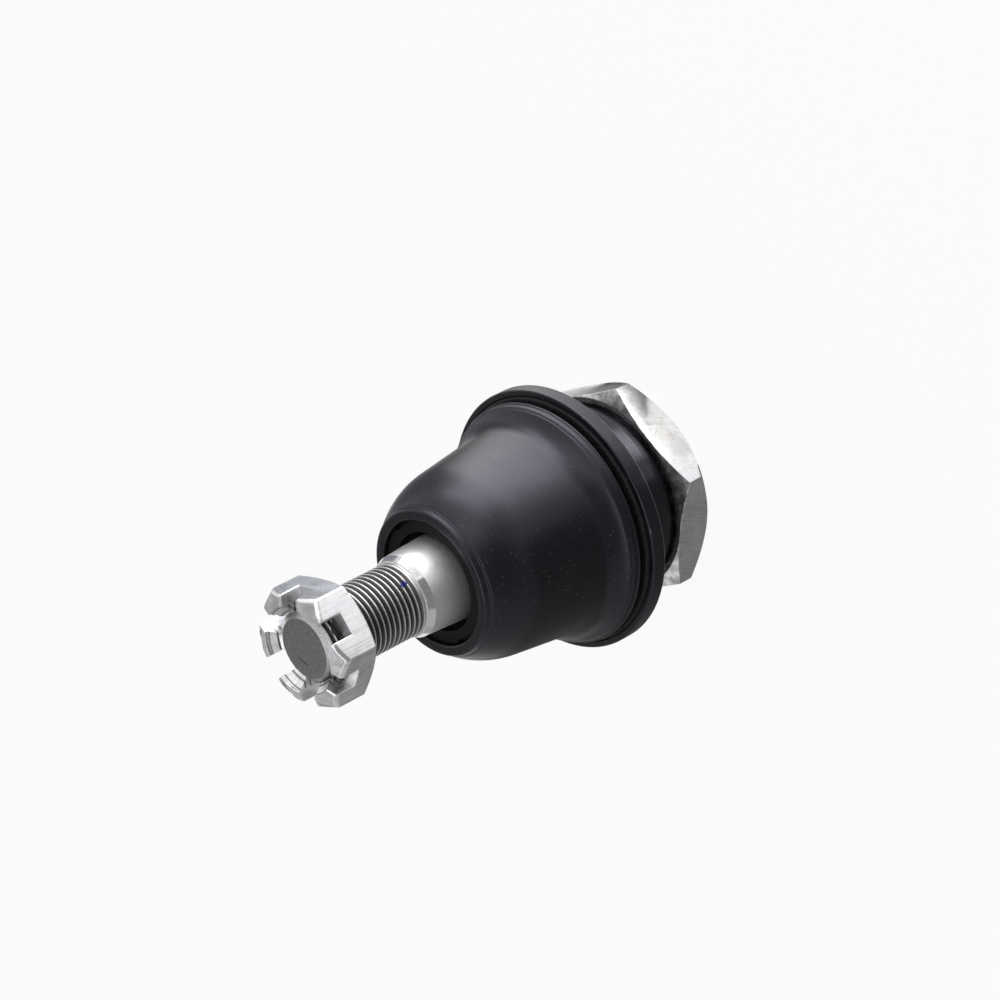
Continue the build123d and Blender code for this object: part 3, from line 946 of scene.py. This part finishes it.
def make_milling_lines():
    """Fine lines across the flats of a hexagon, slanted against its axis, even or uneven."""
    group, source, result = new_group("Milling lines", "Height", {
        "Radius": 0.02, "Lines per metre": 2400.0, "Slant": 0.0, "Evenness": 0.5,
    })
    parts = parts_of(group, source["Vector"])
    along = times(group, maths(group, "ARCTAN2", parts[1], parts[0]), source["Radius"])
    leaned = times(group, parts[2], source["Slant"])
    across = times(group, plus(group, along, leaned), source["Lines per metre"])
    wave = maths(group, "SINE", times(group, across, FULL_TURN))
    drift = noise(group, source["Vector"], 300.0, 2.0)
    rough = noise(group, vector_of(group, across, drift), 1.0, 3.0)
    regular = times(group, between(group, wave, -1.0, 1.0), source["Evenness"])
    uneven = times(group, rough, rest_of(group, source["Evenness"]))
    group.links.new(plus(group, regular, uneven), result)
    return group


GROUPS = {
    "turning": make_turning_marks(),
    "mottle": make_mottle(),
    "specks": make_specks(),
    "wear": make_edge_wear(),
    "grain": make_fine_grain(),
    "milling": make_milling_lines(),
}


def spaced(inputs):
    """Inputs named with spaces for underscores."""
    return {name.replace("_", " "): value for name, value in inputs.items()}


def use(tree, group, **inputs):
    """A shared effect placed in a material with its own values."""
    return add(tree, "ShaderNodeGroup", spaced(inputs), node_tree=GROUPS[group]).outputs[0]


# Finishes

def new_finish(name):
    """A new material: the material, its node tree, its shader and the point on the piece."""
    finish = bpy.data.materials.new(name)
    finish.use_nodes = True
    tree = finish.node_tree
    point = tree.nodes.new("ShaderNodeTexCoord").outputs["Object"]
    return finish, tree, tree.nodes["Principled BSDF"], point


def feed(tree, shader, **inputs):
    """Links or sets the shader's sockets, with spaces for underscores."""
    set_inputs(tree, shader, spaced(inputs))


def marked(tree, name):
    """A share that was stored on the mesh."""
    return add(tree, "ShaderNodeAttribute", {}, attribute_name=name).outputs["Fac"]


def bumped(tree, height, strength, distance):
    """A normal from a height, with its distance in millimetres."""
    inputs = {"Height": height, "Strength": strength, "Distance": distance * MM}
    return add(tree, "ShaderNodeBump", inputs).outputs["Normal"]


def make_black_coat():
    """Satin black coat on turned steel, with chipped edges and a painted highlight line on the flange's rear
    edge.
    """
    finish, tree, shader, point = new_finish("satin_black_coat")
    coat_dark, coat_light = (0.005, 0.005, 0.007), (0.009, 0.009, 0.012)
    dust_grey, chip_grey, line_grey = (0.16, 0.15, 0.14), (0.30, 0.29, 0.27), (0.42, 0.42, 0.44)
    turning = use(tree, "turning", Vector=point, Lines_per_metre=3500.0)
    patches = use(tree, "mottle", Vector=point, Scale=160.0, Low=0.35, High=0.7)
    dust = use(tree, "specks", Vector=point, Scale=800.0, Size=0.16, Share=0.25)
    edge = marked(tree, "edge")
    worn = use(tree, "wear", Edge=edge, Vector=point, Scale=330.0, Amount=0.17)
    height = parts_of(tree, point)[2]
    # Painted highlight: a pale grey line on the flange's rounded rear edge stands in for a reflection there.
    over_rear = over(tree, height, (FLANGE_REAR - PAINTED_HIGHLIGHT_BELOW) * MM)
    under_rear = under(tree, height, (FLANGE_REAR + PAINTED_HIGHLIGHT_ABOVE) * MM)
    painted_highlight_line = times(tree, over_rear, under_rear, edge, 0.8)
    coat = mixed(tree, patches, coat_dark, coat_light)
    feed(
        tree, shader,
        Base_Color=layered(tree, coat, (dust, dust_grey), (worn, chip_grey), (painted_highlight_line, line_grey)),
        Roughness=between(tree, patches, 0.0, 1.0, 0.26, 0.34),
        Specular_IOR_Level=0.5,
        Specular_Tint=(0.85, 0.85, 1.0, 1),
        Metallic=times(tree, worn, 0.4),
        Normal=bumped(tree, turning, 0.06, 0.01),
    )
    return finish


def make_boot_rubber():
    """Moulded satin rubber with a bluish dusty bloom and pale specks."""
    finish, tree, shader, point = new_finish("satin_boot_rubber")
    rubber_dark, rubber_bloom = (0.0022, 0.0022, 0.0031), (0.0040, 0.0040, 0.0055)
    dust_grey = (0.22, 0.21, 0.19)
    grain = use(tree, "grain", Vector=point, Scale=1700.0)
    bloom = use(tree, "mottle", Vector=point, Scale=110.0, Low=0.3, High=0.75)
    fine = use(tree, "specks", Vector=point, Scale=1500.0, Size=0.2, Share=0.5)
    stretched = vector_maths(tree, "MULTIPLY", point, (1.0, 1.0, 0.3))
    fibres = use(tree, "specks", Vector=stretched, Scale=420.0, Size=0.055, Share=0.5)
    dust = times(tree, maths(tree, "MAXIMUM", fine, fibres), 0.9)
    rubber = mixed(tree, bloom, rubber_dark, rubber_bloom)
    satin = between(tree, bloom, 0.0, 1.0, 0.26, 0.38)
    feed(
        tree, shader,
        Base_Color=mixed(tree, dust, rubber, dust_grey),
        Roughness=plus(tree, satin, times(tree, grain, 0.08)),
        Specular_IOR_Level=0.5,
        Specular_Tint=(0.83, 0.83, 1.0, 1),
        Normal=bumped(tree, grain, 0.22, 0.03),
    )
    return finish


def make_zinc_plate(name, radius, lines_per_metre, slant, evenness, pits, grime, bore):
    """Bright zinc on milled flats, with stained chamfers, blotches, pits, worn edges, and dirt with painted
    shade in the thread.
    """
    finish, tree, shader, point = new_finish(name)
    zinc_cool, zinc_bright, worn_white = (0.90, 0.91, 0.95), (0.99, 0.99, 0.99), (0.90, 0.90, 0.90)
    fleck_grey, blotch_grey, stain_brown = (0.60, 0.59, 0.57), (0.45, 0.45, 0.46), (0.55, 0.50, 0.43)
    line_grey, smear_grey = (0.60, 0.57, 0.53), (0.40, 0.39, 0.38)
    pit_black, shade_and_dirt_black = (0.12, 0.12, 0.12), (0.10, 0.095, 0.09)
    facing = tree.nodes.new("ShaderNodeTexCoord").outputs["Normal"]
    upward = parts_of(tree, facing)[2]
    sloped = times(tree, between(tree, upward, 0.15, 0.3), between(tree, upward, 0.999, 0.99))
    milling = use(
        tree, "milling", Vector=point, Radius=radius, Lines_per_metre=lines_per_metre, Slant=slant,
        Evenness=evenness,
    )
    patches = use(tree, "mottle", Vector=point, Scale=220.0, Low=0.35, High=0.7)
    stains = use(tree, "mottle", Vector=point, Scale=110.0, Low=0.54, High=0.66)
    smears = use(tree, "mottle", Vector=point, Scale=420.0, Low=0.40, High=0.62)
    blotches = use(tree, "mottle", Vector=point, Scale=130.0, Low=0.60, High=0.62)
    lined = use(tree, "mottle", Vector=point, Scale=75.0, Low=0.40, High=0.56)
    flecks = use(tree, "mottle", Vector=point, Scale=900.0, Low=0.42, High=0.6)
    pitted = use(tree, "specks", Vector=point, Scale=700.0, Size=0.14, Share=pits)
    grain = use(tree, "grain", Vector=point, Scale=1500.0)
    worn = use(tree, "wear", Edge=marked(tree, "edge"), Vector=point, Scale=900.0, Amount=0.12)
    # Painted shade and dirt: inside the given radius, dark rings at the thread's pitch cover the bore, its
    # thread and countersink.
    reach = vector_maths(tree, "LENGTH", vector_maths(tree, "MULTIPLY", point, (1.0, 1.0, 0.0)))
    thread_turn = times(tree, parts_of(tree, point)[2], FULL_TURN / (THREAD_PITCH * MM))
    thread_shade_and_dirt = between(tree, maths(tree, "SINE", thread_turn), 0.45, 0.95, 0.12, 0.85)
    colour = layered(
        tree, mixed(tree, patches, zinc_cool, zinc_bright),
        (times(tree, flecks, 0.3 * grime), fleck_grey),
        (times(tree, blotches, 0.25), blotch_grey),
        (times(tree, stains, 0.25), stain_brown),
        (times(tree, between(tree, milling, 0.5, 0.7), lined), line_grey),
        (times(tree, smears, sloped, grime), smear_grey),
        (pitted, pit_black),
        (times(tree, under(tree, reach, bore), thread_shade_and_dirt), shade_and_dirt_black),
        (worn, worn_white),
    )
    height = plus(tree, times(tree, milling, 0.3), times(tree, grain, 0.5))
    feed(
        tree, shader,
        Base_Color=colour,
        Metallic=1.0,
        Roughness=between(tree, patches, 0.0, 1.0, 0.36, 0.24),
        Normal=bumped(tree, height, 0.4, 0.04),
    )
    return finish


def scratch_mask(tree, point):
    """1 along the short deep scratch on the stud's sawn end."""
    start = Vector((*SCRATCH_START, STUD_END)) * MM
    run = Vector((*SCRATCH_END, STUD_END)) * MM - start
    reach = vector_maths(tree, "SUBTRACT", point, start)
    along = vector_maths(tree, "DOT_PRODUCT", reach, run / run.length_squared)
    share = between(tree, along, 0.0, 1.0)
    gap = vector_maths(tree, "DISTANCE", reach, scaled(tree, run, share))
    width = between(tree, share, 0.0, 1.0, 0.5 * SCRATCH_WIDTH * MM, SCRATCH_WIDTH * MM)
    return under(tree, gap, width)


def make_bare_steel():
    """Turned and ground steel: satin taper, polished step, thread grooves darkened with painted shade and a
    dull sawn end.
    """
    finish, tree, shader, point = new_finish("turned_bare_steel")
    steel_dark, steel_light = (0.60, 0.59, 0.59), (0.86, 0.85, 0.86)
    sawn_dark, sawn_light = (0.14, 0.136, 0.134), (0.29, 0.28, 0.275)
    groove_shade_black, end_darkening_grey = (0.12, 0.115, 0.11), (0.25, 0.245, 0.24)
    scratch_black, ink_blue = (0.01, 0.01, 0.01), (0.03, 0.045, 0.30)
    turning = use(tree, "turning", Vector=point, Lines_per_metre=6000.0)
    grain = use(tree, "grain", Vector=point, Scale=2000.0)
    ground = use(tree, "grain", Vector=point, Scale=4500.0)
    height = parts_of(tree, point)[2]
    sawn = over(tree, height, (STUD_END - SAWN_DEPTH) * MM)
    above_taper = over(tree, height, TAPER_TOP * MM)
    polished = times(tree, above_taper, under(tree, height, STEP_TOP * MM))
    chamfered = over(tree, height, (STUD_END - STUD_END_CHAMFER) * MM)
    # Painted shade: the thread's flanks and roots are darkened from a fifth of their depth down.
    painted_groove_shade = between(tree, marked(tree, "groove"), 0.0, 0.2)
    # Within the end chamfer's height the stud, its chamfer and last thread turns, is darkened in uneven
    # patches.
    darkened_end = times(tree, chamfered, between(tree, grain, 0.35, 0.65, 0.45, 0.75))
    ink_reach = vector_maths(tree, "DISTANCE", point, Vector(INK_DAB) * MM)
    ink_edge = times(tree, between(tree, grain, 0.3, 0.7, 0.6, 1.4), INK_DAB_RADIUS * MM)
    inked = under(tree, ink_reach, ink_edge)
    cut_grain = plus(tree, times(tree, ground, 0.45), times(tree, grain, 0.4))
    sawn_marks = plus(tree, cut_grain, times(tree, turning, 0.15))
    sawn_steel = mixed(tree, between(tree, sawn_marks, 0.42, 0.58), sawn_dark, sawn_light)
    colour = layered(
        tree, mixed(tree, between(tree, ground, 0.3, 0.7), steel_dark, steel_light),
        (painted_groove_shade, groove_shade_black),
        (darkened_end, end_darkening_grey),
        (sawn, sawn_steel),
        (times(tree, sawn, scratch_mask(tree, point)), scratch_black),
        (inked, ink_blue),
    )
    satin = between(tree, ground, 0.3, 0.7, 0.38, 0.50)
    smooth = times(tree, satin, rest_of(tree, times(tree, polished, 0.72)))
    matt = times(tree, maths(tree, "MAXIMUM", sawn, inked), 0.6)
    ground_matt = times(tree, rest_of(tree, above_taper), 0.2)
    feed(
        tree, shader,
        Base_Color=colour,
        Metallic=rest_of(tree, maths(tree, "MAXIMUM", matt, ground_matt)),
        Roughness=plus(tree, smooth, times(tree, sawn, 0.25)),
        Normal=bumped(tree, plus(tree, turning, times(tree, sawn, grain)), 0.04, 0.01),
    )
    return finish


def make_inner_steel():
    """Oiled steel of the cover, spring and rings."""
    finish, tree, shader, point = new_finish("oiled_inner_steel")
    turning = use(tree, "turning", Vector=point, Lines_per_metre=2500.0)
    patches = use(tree, "mottle", Vector=point, Scale=150.0, Low=0.3, High=0.7)
    feed(
        tree, shader,
        Base_Color=mixed(tree, patches, (0.30, 0.29, 0.28), (0.44, 0.43, 0.42)),
        Metallic=1.0,
        Roughness=between(tree, patches, 0.0, 1.0, 0.3, 0.45),
        Normal=bumped(tree, turning, 0.2, 0.02),
    )
    return finish


def make_moulded_plastic(name, dark, light, grain_scale, patch_scale, smoothest, roughest, gloss, relief):
    """Plastic with faint patches and a fine grain that makes its gloss uneven."""
    finish, tree, shader, point = new_finish(name)
    grain = use(tree, "grain", Vector=point, Scale=grain_scale)
    patches = use(tree, "mottle", Vector=point, Scale=patch_scale, Low=0.3, High=0.7)
    feed(
        tree, shader,
        Base_Color=mixed(tree, patches, dark, light),
        Roughness=between(tree, grain, 0.3, 0.7, smoothest, roughest),
        Specular_IOR_Level=gloss,
        Normal=bumped(tree, grain, *relief),
    )
    return finish


def make_dusty_ring():
    """Black ring with gritty dust caught on it."""
    finish, tree, shader, point = new_finish("dusty_black_ring")
    ring_dark, ring_light, grit_grey = (0.003, 0.003, 0.004), (0.022, 0.022, 0.026), (0.12, 0.115, 0.11)
    grain = use(tree, "grain", Vector=point, Scale=1500.0)
    grit = use(tree, "specks", Vector=point, Scale=1000.0, Size=0.22, Share=0.2)
    ground = mixed(tree, between(tree, grain, 0.45, 0.65), ring_dark, ring_light)
    feed(
        tree, shader,
        Base_Color=mixed(tree, grit, ground, grit_grey),
        Roughness=between(tree, grain, 0.3, 0.7, 0.55, 0.8),
        Specular_IOR_Level=0.25,
        Normal=bumped(tree, grain, 0.5, 0.15),
    )
    return finish


def dress(piece, finish):
    """Gives the whole piece one finish."""
    piece.data.materials.clear()
    piece.data.materials.append(finish)


# Camera, light and floor

WHITE = (1, 1, 1)
COOL_WHITE = (0.84, 0.87, 1.0)
SURROUND_LIGHT = 0.35
FLOOR_SIZE = 6.0
FLOOR_GREY = (0.95, 0.95, 0.95)
FLOOR_WHITE_SHARE = 0.93
FLOOR_GAP = 0.02 * MM
CARD_LEVEL = -0.01 * MM
OVERHEAD_LEVEL = 0.8
PANEL_LIFT = Vector((0, 0, 0.5 * MM))
PANEL_TURN = radians(-28.0)
PANEL_WAY = Vector((cos(PANEL_TURN), sin(PANEL_TURN), 0))
PANEL_SIDE = Vector((-sin(PANEL_TURN), cos(PANEL_TURN), 0))
FLAT_TURN = radians(LOCK_NUT_TURN)
FLAT_WAY = Vector((sin(FLAT_TURN), -cos(FLAT_TURN), 0))
FLAT_SIDE = Vector((cos(FLAT_TURN), sin(FLAT_TURN), 0))


def camera_axes():
    """The camera's right, up and back directions."""
    azimuth, elevation, roll = radians(CAMERA_AZIMUTH), radians(CAMERA_ELEVATION), radians(CAMERA_ROLL)
    back = Vector((sin(azimuth) * cos(elevation), -cos(azimuth) * cos(elevation), sin(elevation)))
    level = Vector((cos(azimuth), sin(azimuth), 0))
    upright = back.cross(level)
    right = level * cos(roll) + upright * sin(roll)
    return right, back.cross(right), back


def make_camera():
    """The camera at the photograph's viewing angle."""
    lens = bpy.data.cameras.new("photo_camera")
    lens.lens = CAMERA_LENS
    lens.sensor_width = CAMERA_SENSOR
    lens.clip_start = 0.01
    camera = bpy.data.objects.new("photo_camera", lens)
    turn = Matrix(camera_axes()).transposed().to_4x4()
    camera.matrix_world = Matrix.Translation(Vector(CAMERA_PLACE) * MM) @ turn
    bpy.context.scene.collection.objects.link(camera)
    bpy.context.scene.camera = camera


def softbox(name, place, aim, size, brightness):
    """A square soft lamp at a place, in metres, that shines in a direction."""
    away = -Vector(aim).normalized()
    lamp = bpy.data.lights.new(name, "AREA")
    lamp.shape = "SQUARE"
    lamp.size = size
    lamp.energy = brightness * pi * size * size
    box = bpy.data.objects.new(name, lamp)
    box.rotation_mode = "QUATERNION"
    box.rotation_quaternion = away.to_track_quat("Z", "Y")
    box.location = place
    box.visible_camera = False
    bpy.context.scene.collection.objects.link(box)


def empty_finish(name):
    """A material with no nodes yet, and its node tree."""
    finish = bpy.data.materials.new(name)
    finish.use_nodes = True
    finish.node_tree.nodes.clear()
    return finish, finish.node_tree


def only_mirrored(name, places, faces, glows, strength, tint=WHITE):
    """A glowing part of the studio that only reflections show, with a share of its strength at each place."""
    mesh = bpy.data.meshes.new(name)
    mesh.from_pydata(places, [], faces)
    store(mesh, "glow", glows)
    panel = bpy.data.objects.new(name, mesh)
    panel.visible_camera = False
    panel.visible_diffuse = False
    panel.visible_shadow = False
    finish, tree = empty_finish(name)
    level = times(tree, marked(tree, "glow"), strength)
    even = add(tree, "ShaderNodeEmission", {"Color": with_alpha(tint), "Strength": level})
    add(tree, "ShaderNodeOutputMaterial", {"Surface": even.outputs[0]})
    mesh.materials.append(finish)
    bpy.context.scene.collection.objects.link(panel)


def soft_panel(name, brightness, centre, along, across, steps=20):
    """A bright panel that fades towards its edges, reaching half its length and width from its centre."""
    places, faces, glows = [], [], []
    for row in range(steps + 1):
        for column in range(steps + 1):
            u, v = 2 * row / steps - 1, 2 * column / steps - 1
            places.append(centre + along * u + across * v)
            glows.append(min(1.0, 1.5 * cos(u * pi / 2)) * min(1.0, 1.5 * cos(v * pi / 2)))
    for row in range(steps):
        for column in range(steps):
            corner = row * (steps + 1) + column
            faces.append((corner, corner + 1, corner + steps + 2, corner + steps + 1))
    only_mirrored(name, places, faces, glows, brightness)


def level_card(height, *corners):
    """The corners of a card that lies level at a height."""
    return [(x, y, height) for x, y in corners]


def standing_card(start, end, top):
    """The corners of a card that stands on the floor from start to end."""
    return [(*start, 0.0), (*end, 0.0), (*end, top), (*start, top)]


STUDIO_CARDS = (
    ("near_floor_card", 0.18, WHITE, level_card(
        CARD_LEVEL, (-0.03, -0.3), (-0.005, -0.02), (-0.02, 0.12), (-0.17, 0.12), (-0.17, -0.3),
    )),
    ("far_floor_card", 0.4, WHITE, level_card(
        CARD_LEVEL, (-0.17, -0.4), (-0.17, 0.3), (-0.7, 0.6), (-0.7, -0.4),
    )),
    ("front_card", 0.26, WHITE, standing_card((-0.75, -0.4), (0.26, -0.8), 1.2)),
    ("left_card", 0.5, WHITE, standing_card((-0.75, -0.4), (-0.75, 0.7), OVERHEAD_LEVEL)),
    ("rear_floor_card", 0.34, COOL_WHITE, level_card(
        CARD_LEVEL, (0.055, 0.035), (0.7, 0.035), (0.7, 0.7), (0.25, 0.7), (0.08, 0.12),
    )),
    ("rear_wall", 0.35, WHITE, standing_card((-1.1, 1.2), (0.7, 1.2), OVERHEAD_LEVEL)),
    ("overhead_card", 0.35, WHITE, level_card(
        OVERHEAD_LEVEL, (-0.5, 0.12), (0.7, 0.12), (0.7, 1.2), (-0.5, 1.2),
    )),
)


def make_studio():
    """Bright panels, soft lamps and grey cards, so that dark and bright surfaces keep their shape."""
    floor_place = PANEL_WAY * 0.225 + PANEL_LIFT
    soft_panel("floor_panel", 5.2, floor_place, PANEL_WAY * 0.20, PANEL_SIDE * 0.10)
    standing_place = PANEL_WAY * 0.43 + Vector((0, 0, 0.05))
    soft_panel("standing_panel", 5.2, standing_place, PANEL_SIDE * 0.28, Vector((0, 0, 0.08)))
    near_place = FLAT_WAY * 0.0415 + FLAT_SIDE * 0.009 + PANEL_LIFT
    soft_panel("near_panel", 9.0, near_place, FLAT_SIDE * 0.014, FLAT_WAY * 0.006)
    softbox("front_softbox", (0.35, -0.45, 0.45), aim=(-0.35, 0.45, -0.40), size=0.5, brightness=0.8)
    softbox("top_softbox", (-0.2, -0.1, 0.9), aim=(0.2, 0.1, -0.85), size=0.4, brightness=1.6)
    for name, grey, tint, corners in STUDIO_CARDS:
        count = len(corners)
        only_mirrored(name, corners, [range(count)], [1.0] * count, grey, tint)


def seen_directly(tree):
    """1 for what the camera sees, also in metal and glass."""
    path = tree.nodes.new("ShaderNodeLightPath").outputs
    mirrored = maths(tree, "MAXIMUM", path["Is Glossy Ray"], path["Is Transmission Ray"])
    return maths(tree, "MAXIMUM", path["Is Camera Ray"], mirrored)


def make_world():
    """Even soft light from all round, and a white surround."""
    world = bpy.data.worlds.new("white_surround")
    bpy.context.scene.world = world
    world.use_nodes = True
    tree = world.node_tree
    level = between(tree, seen_directly(tree), 0.0, 1.0, SURROUND_LIGHT, 1.0)
    set_inputs(tree, tree.nodes["Background"], {"Color": with_alpha(WHITE), "Strength": level})


def make_floor():
    """A plain pale floor, white to the eye, that keeps a soft shadow."""
    bpy.ops.mesh.primitive_plane_add(size=FLOOR_SIZE, location=(0, 0, cad_low.z - FLOOR_GAP))
    floor = bpy.context.object
    floor.name = "pale_floor"
    finish, tree = empty_finish("pale_floor")
    matt = add(tree, "ShaderNodeBsdfDiffuse", {"Color": with_alpha(FLOOR_GREY)}).outputs[0]
    white = add(tree, "ShaderNodeEmission", {"Color": with_alpha(WHITE), "Strength": 1.0}).outputs[0]
    share = times(tree, seen_directly(tree), FLOOR_WHITE_SHARE)
    blend = add(tree, "ShaderNodeMixShader", {0: share, 1: matt, 2: white})
    add(tree, "ShaderNodeOutputMaterial", {"Surface": blend.outputs[0]})
    floor.data.materials.append(finish)


# The whole scene

boot_rubber = make_boot_rubber()
inner_steel = make_inner_steel()
lock_nut_zinc = make_zinc_plate(
    "milled_zinc_plate", radius=LOCK_NUT_APOTHEM * MM, lines_per_metre=2700.0, slant=-0.46, evenness=0.35,
    pits=0.05, grime=1.0, bore=LOCK_NUT_SHADE_AND_DIRT_RADIUS * MM,
)
castle_nut_zinc = make_zinc_plate(
    "brushed_zinc_plate", radius=CASTLE_NUT_APOTHEM * MM, lines_per_metre=3200.0, slant=0.0, evenness=0.0,
    pits=0.3, grime=0.45, bore=CASTLE_NUT_SHADE_AND_DIRT_RADIUS * MM,
)
ring_plastic = make_moulded_plastic(
    "matt_ring_plastic", dark=(0.003, 0.003, 0.004), light=(0.006, 0.006, 0.0075), grain_scale=2200.0,
    patch_scale=180.0, smoothest=0.45, roughest=0.6, gloss=0.17, relief=(0.15, 0.03),
)
seat_plastic = make_moulded_plastic(
    "bearing_plastic", dark=(0.74, 0.72, 0.64), light=(0.80, 0.78, 0.71), grain_scale=1800.0,
    patch_scale=120.0, smoothest=0.35, roughest=0.5, gloss=0.5, relief=(0.08, 0.02),
)

dress(make_housing(), make_black_coat())
dress(make_dust_boot(), boot_rubber)
dress(make_stud(), make_bare_steel())
dress(make_lock_nut(), lock_nut_zinc)
dress(make_castle_nut(), castle_nut_zinc)

CARRIED_OVER = {
    "boot_mouth_ring": ring_plastic,
    "boot_retaining_ring": make_dusty_ring(),
    "upper_seat": seat_plastic,
    "lower_seat": seat_plastic,
    "pressure_plate": inner_steel,
    "disc_spring": inner_steel,
    "cover_seal": boot_rubber,
    "end_cover": inner_steel,
    "snap_ring": inner_steel,
}
for node, finish in CARRIED_OVER.items():
    dress(soften_cad_edges(node), finish)

make_camera()
make_world()
make_floor()
make_studio()

bpy.context.scene.view_settings.view_transform = "Standard"
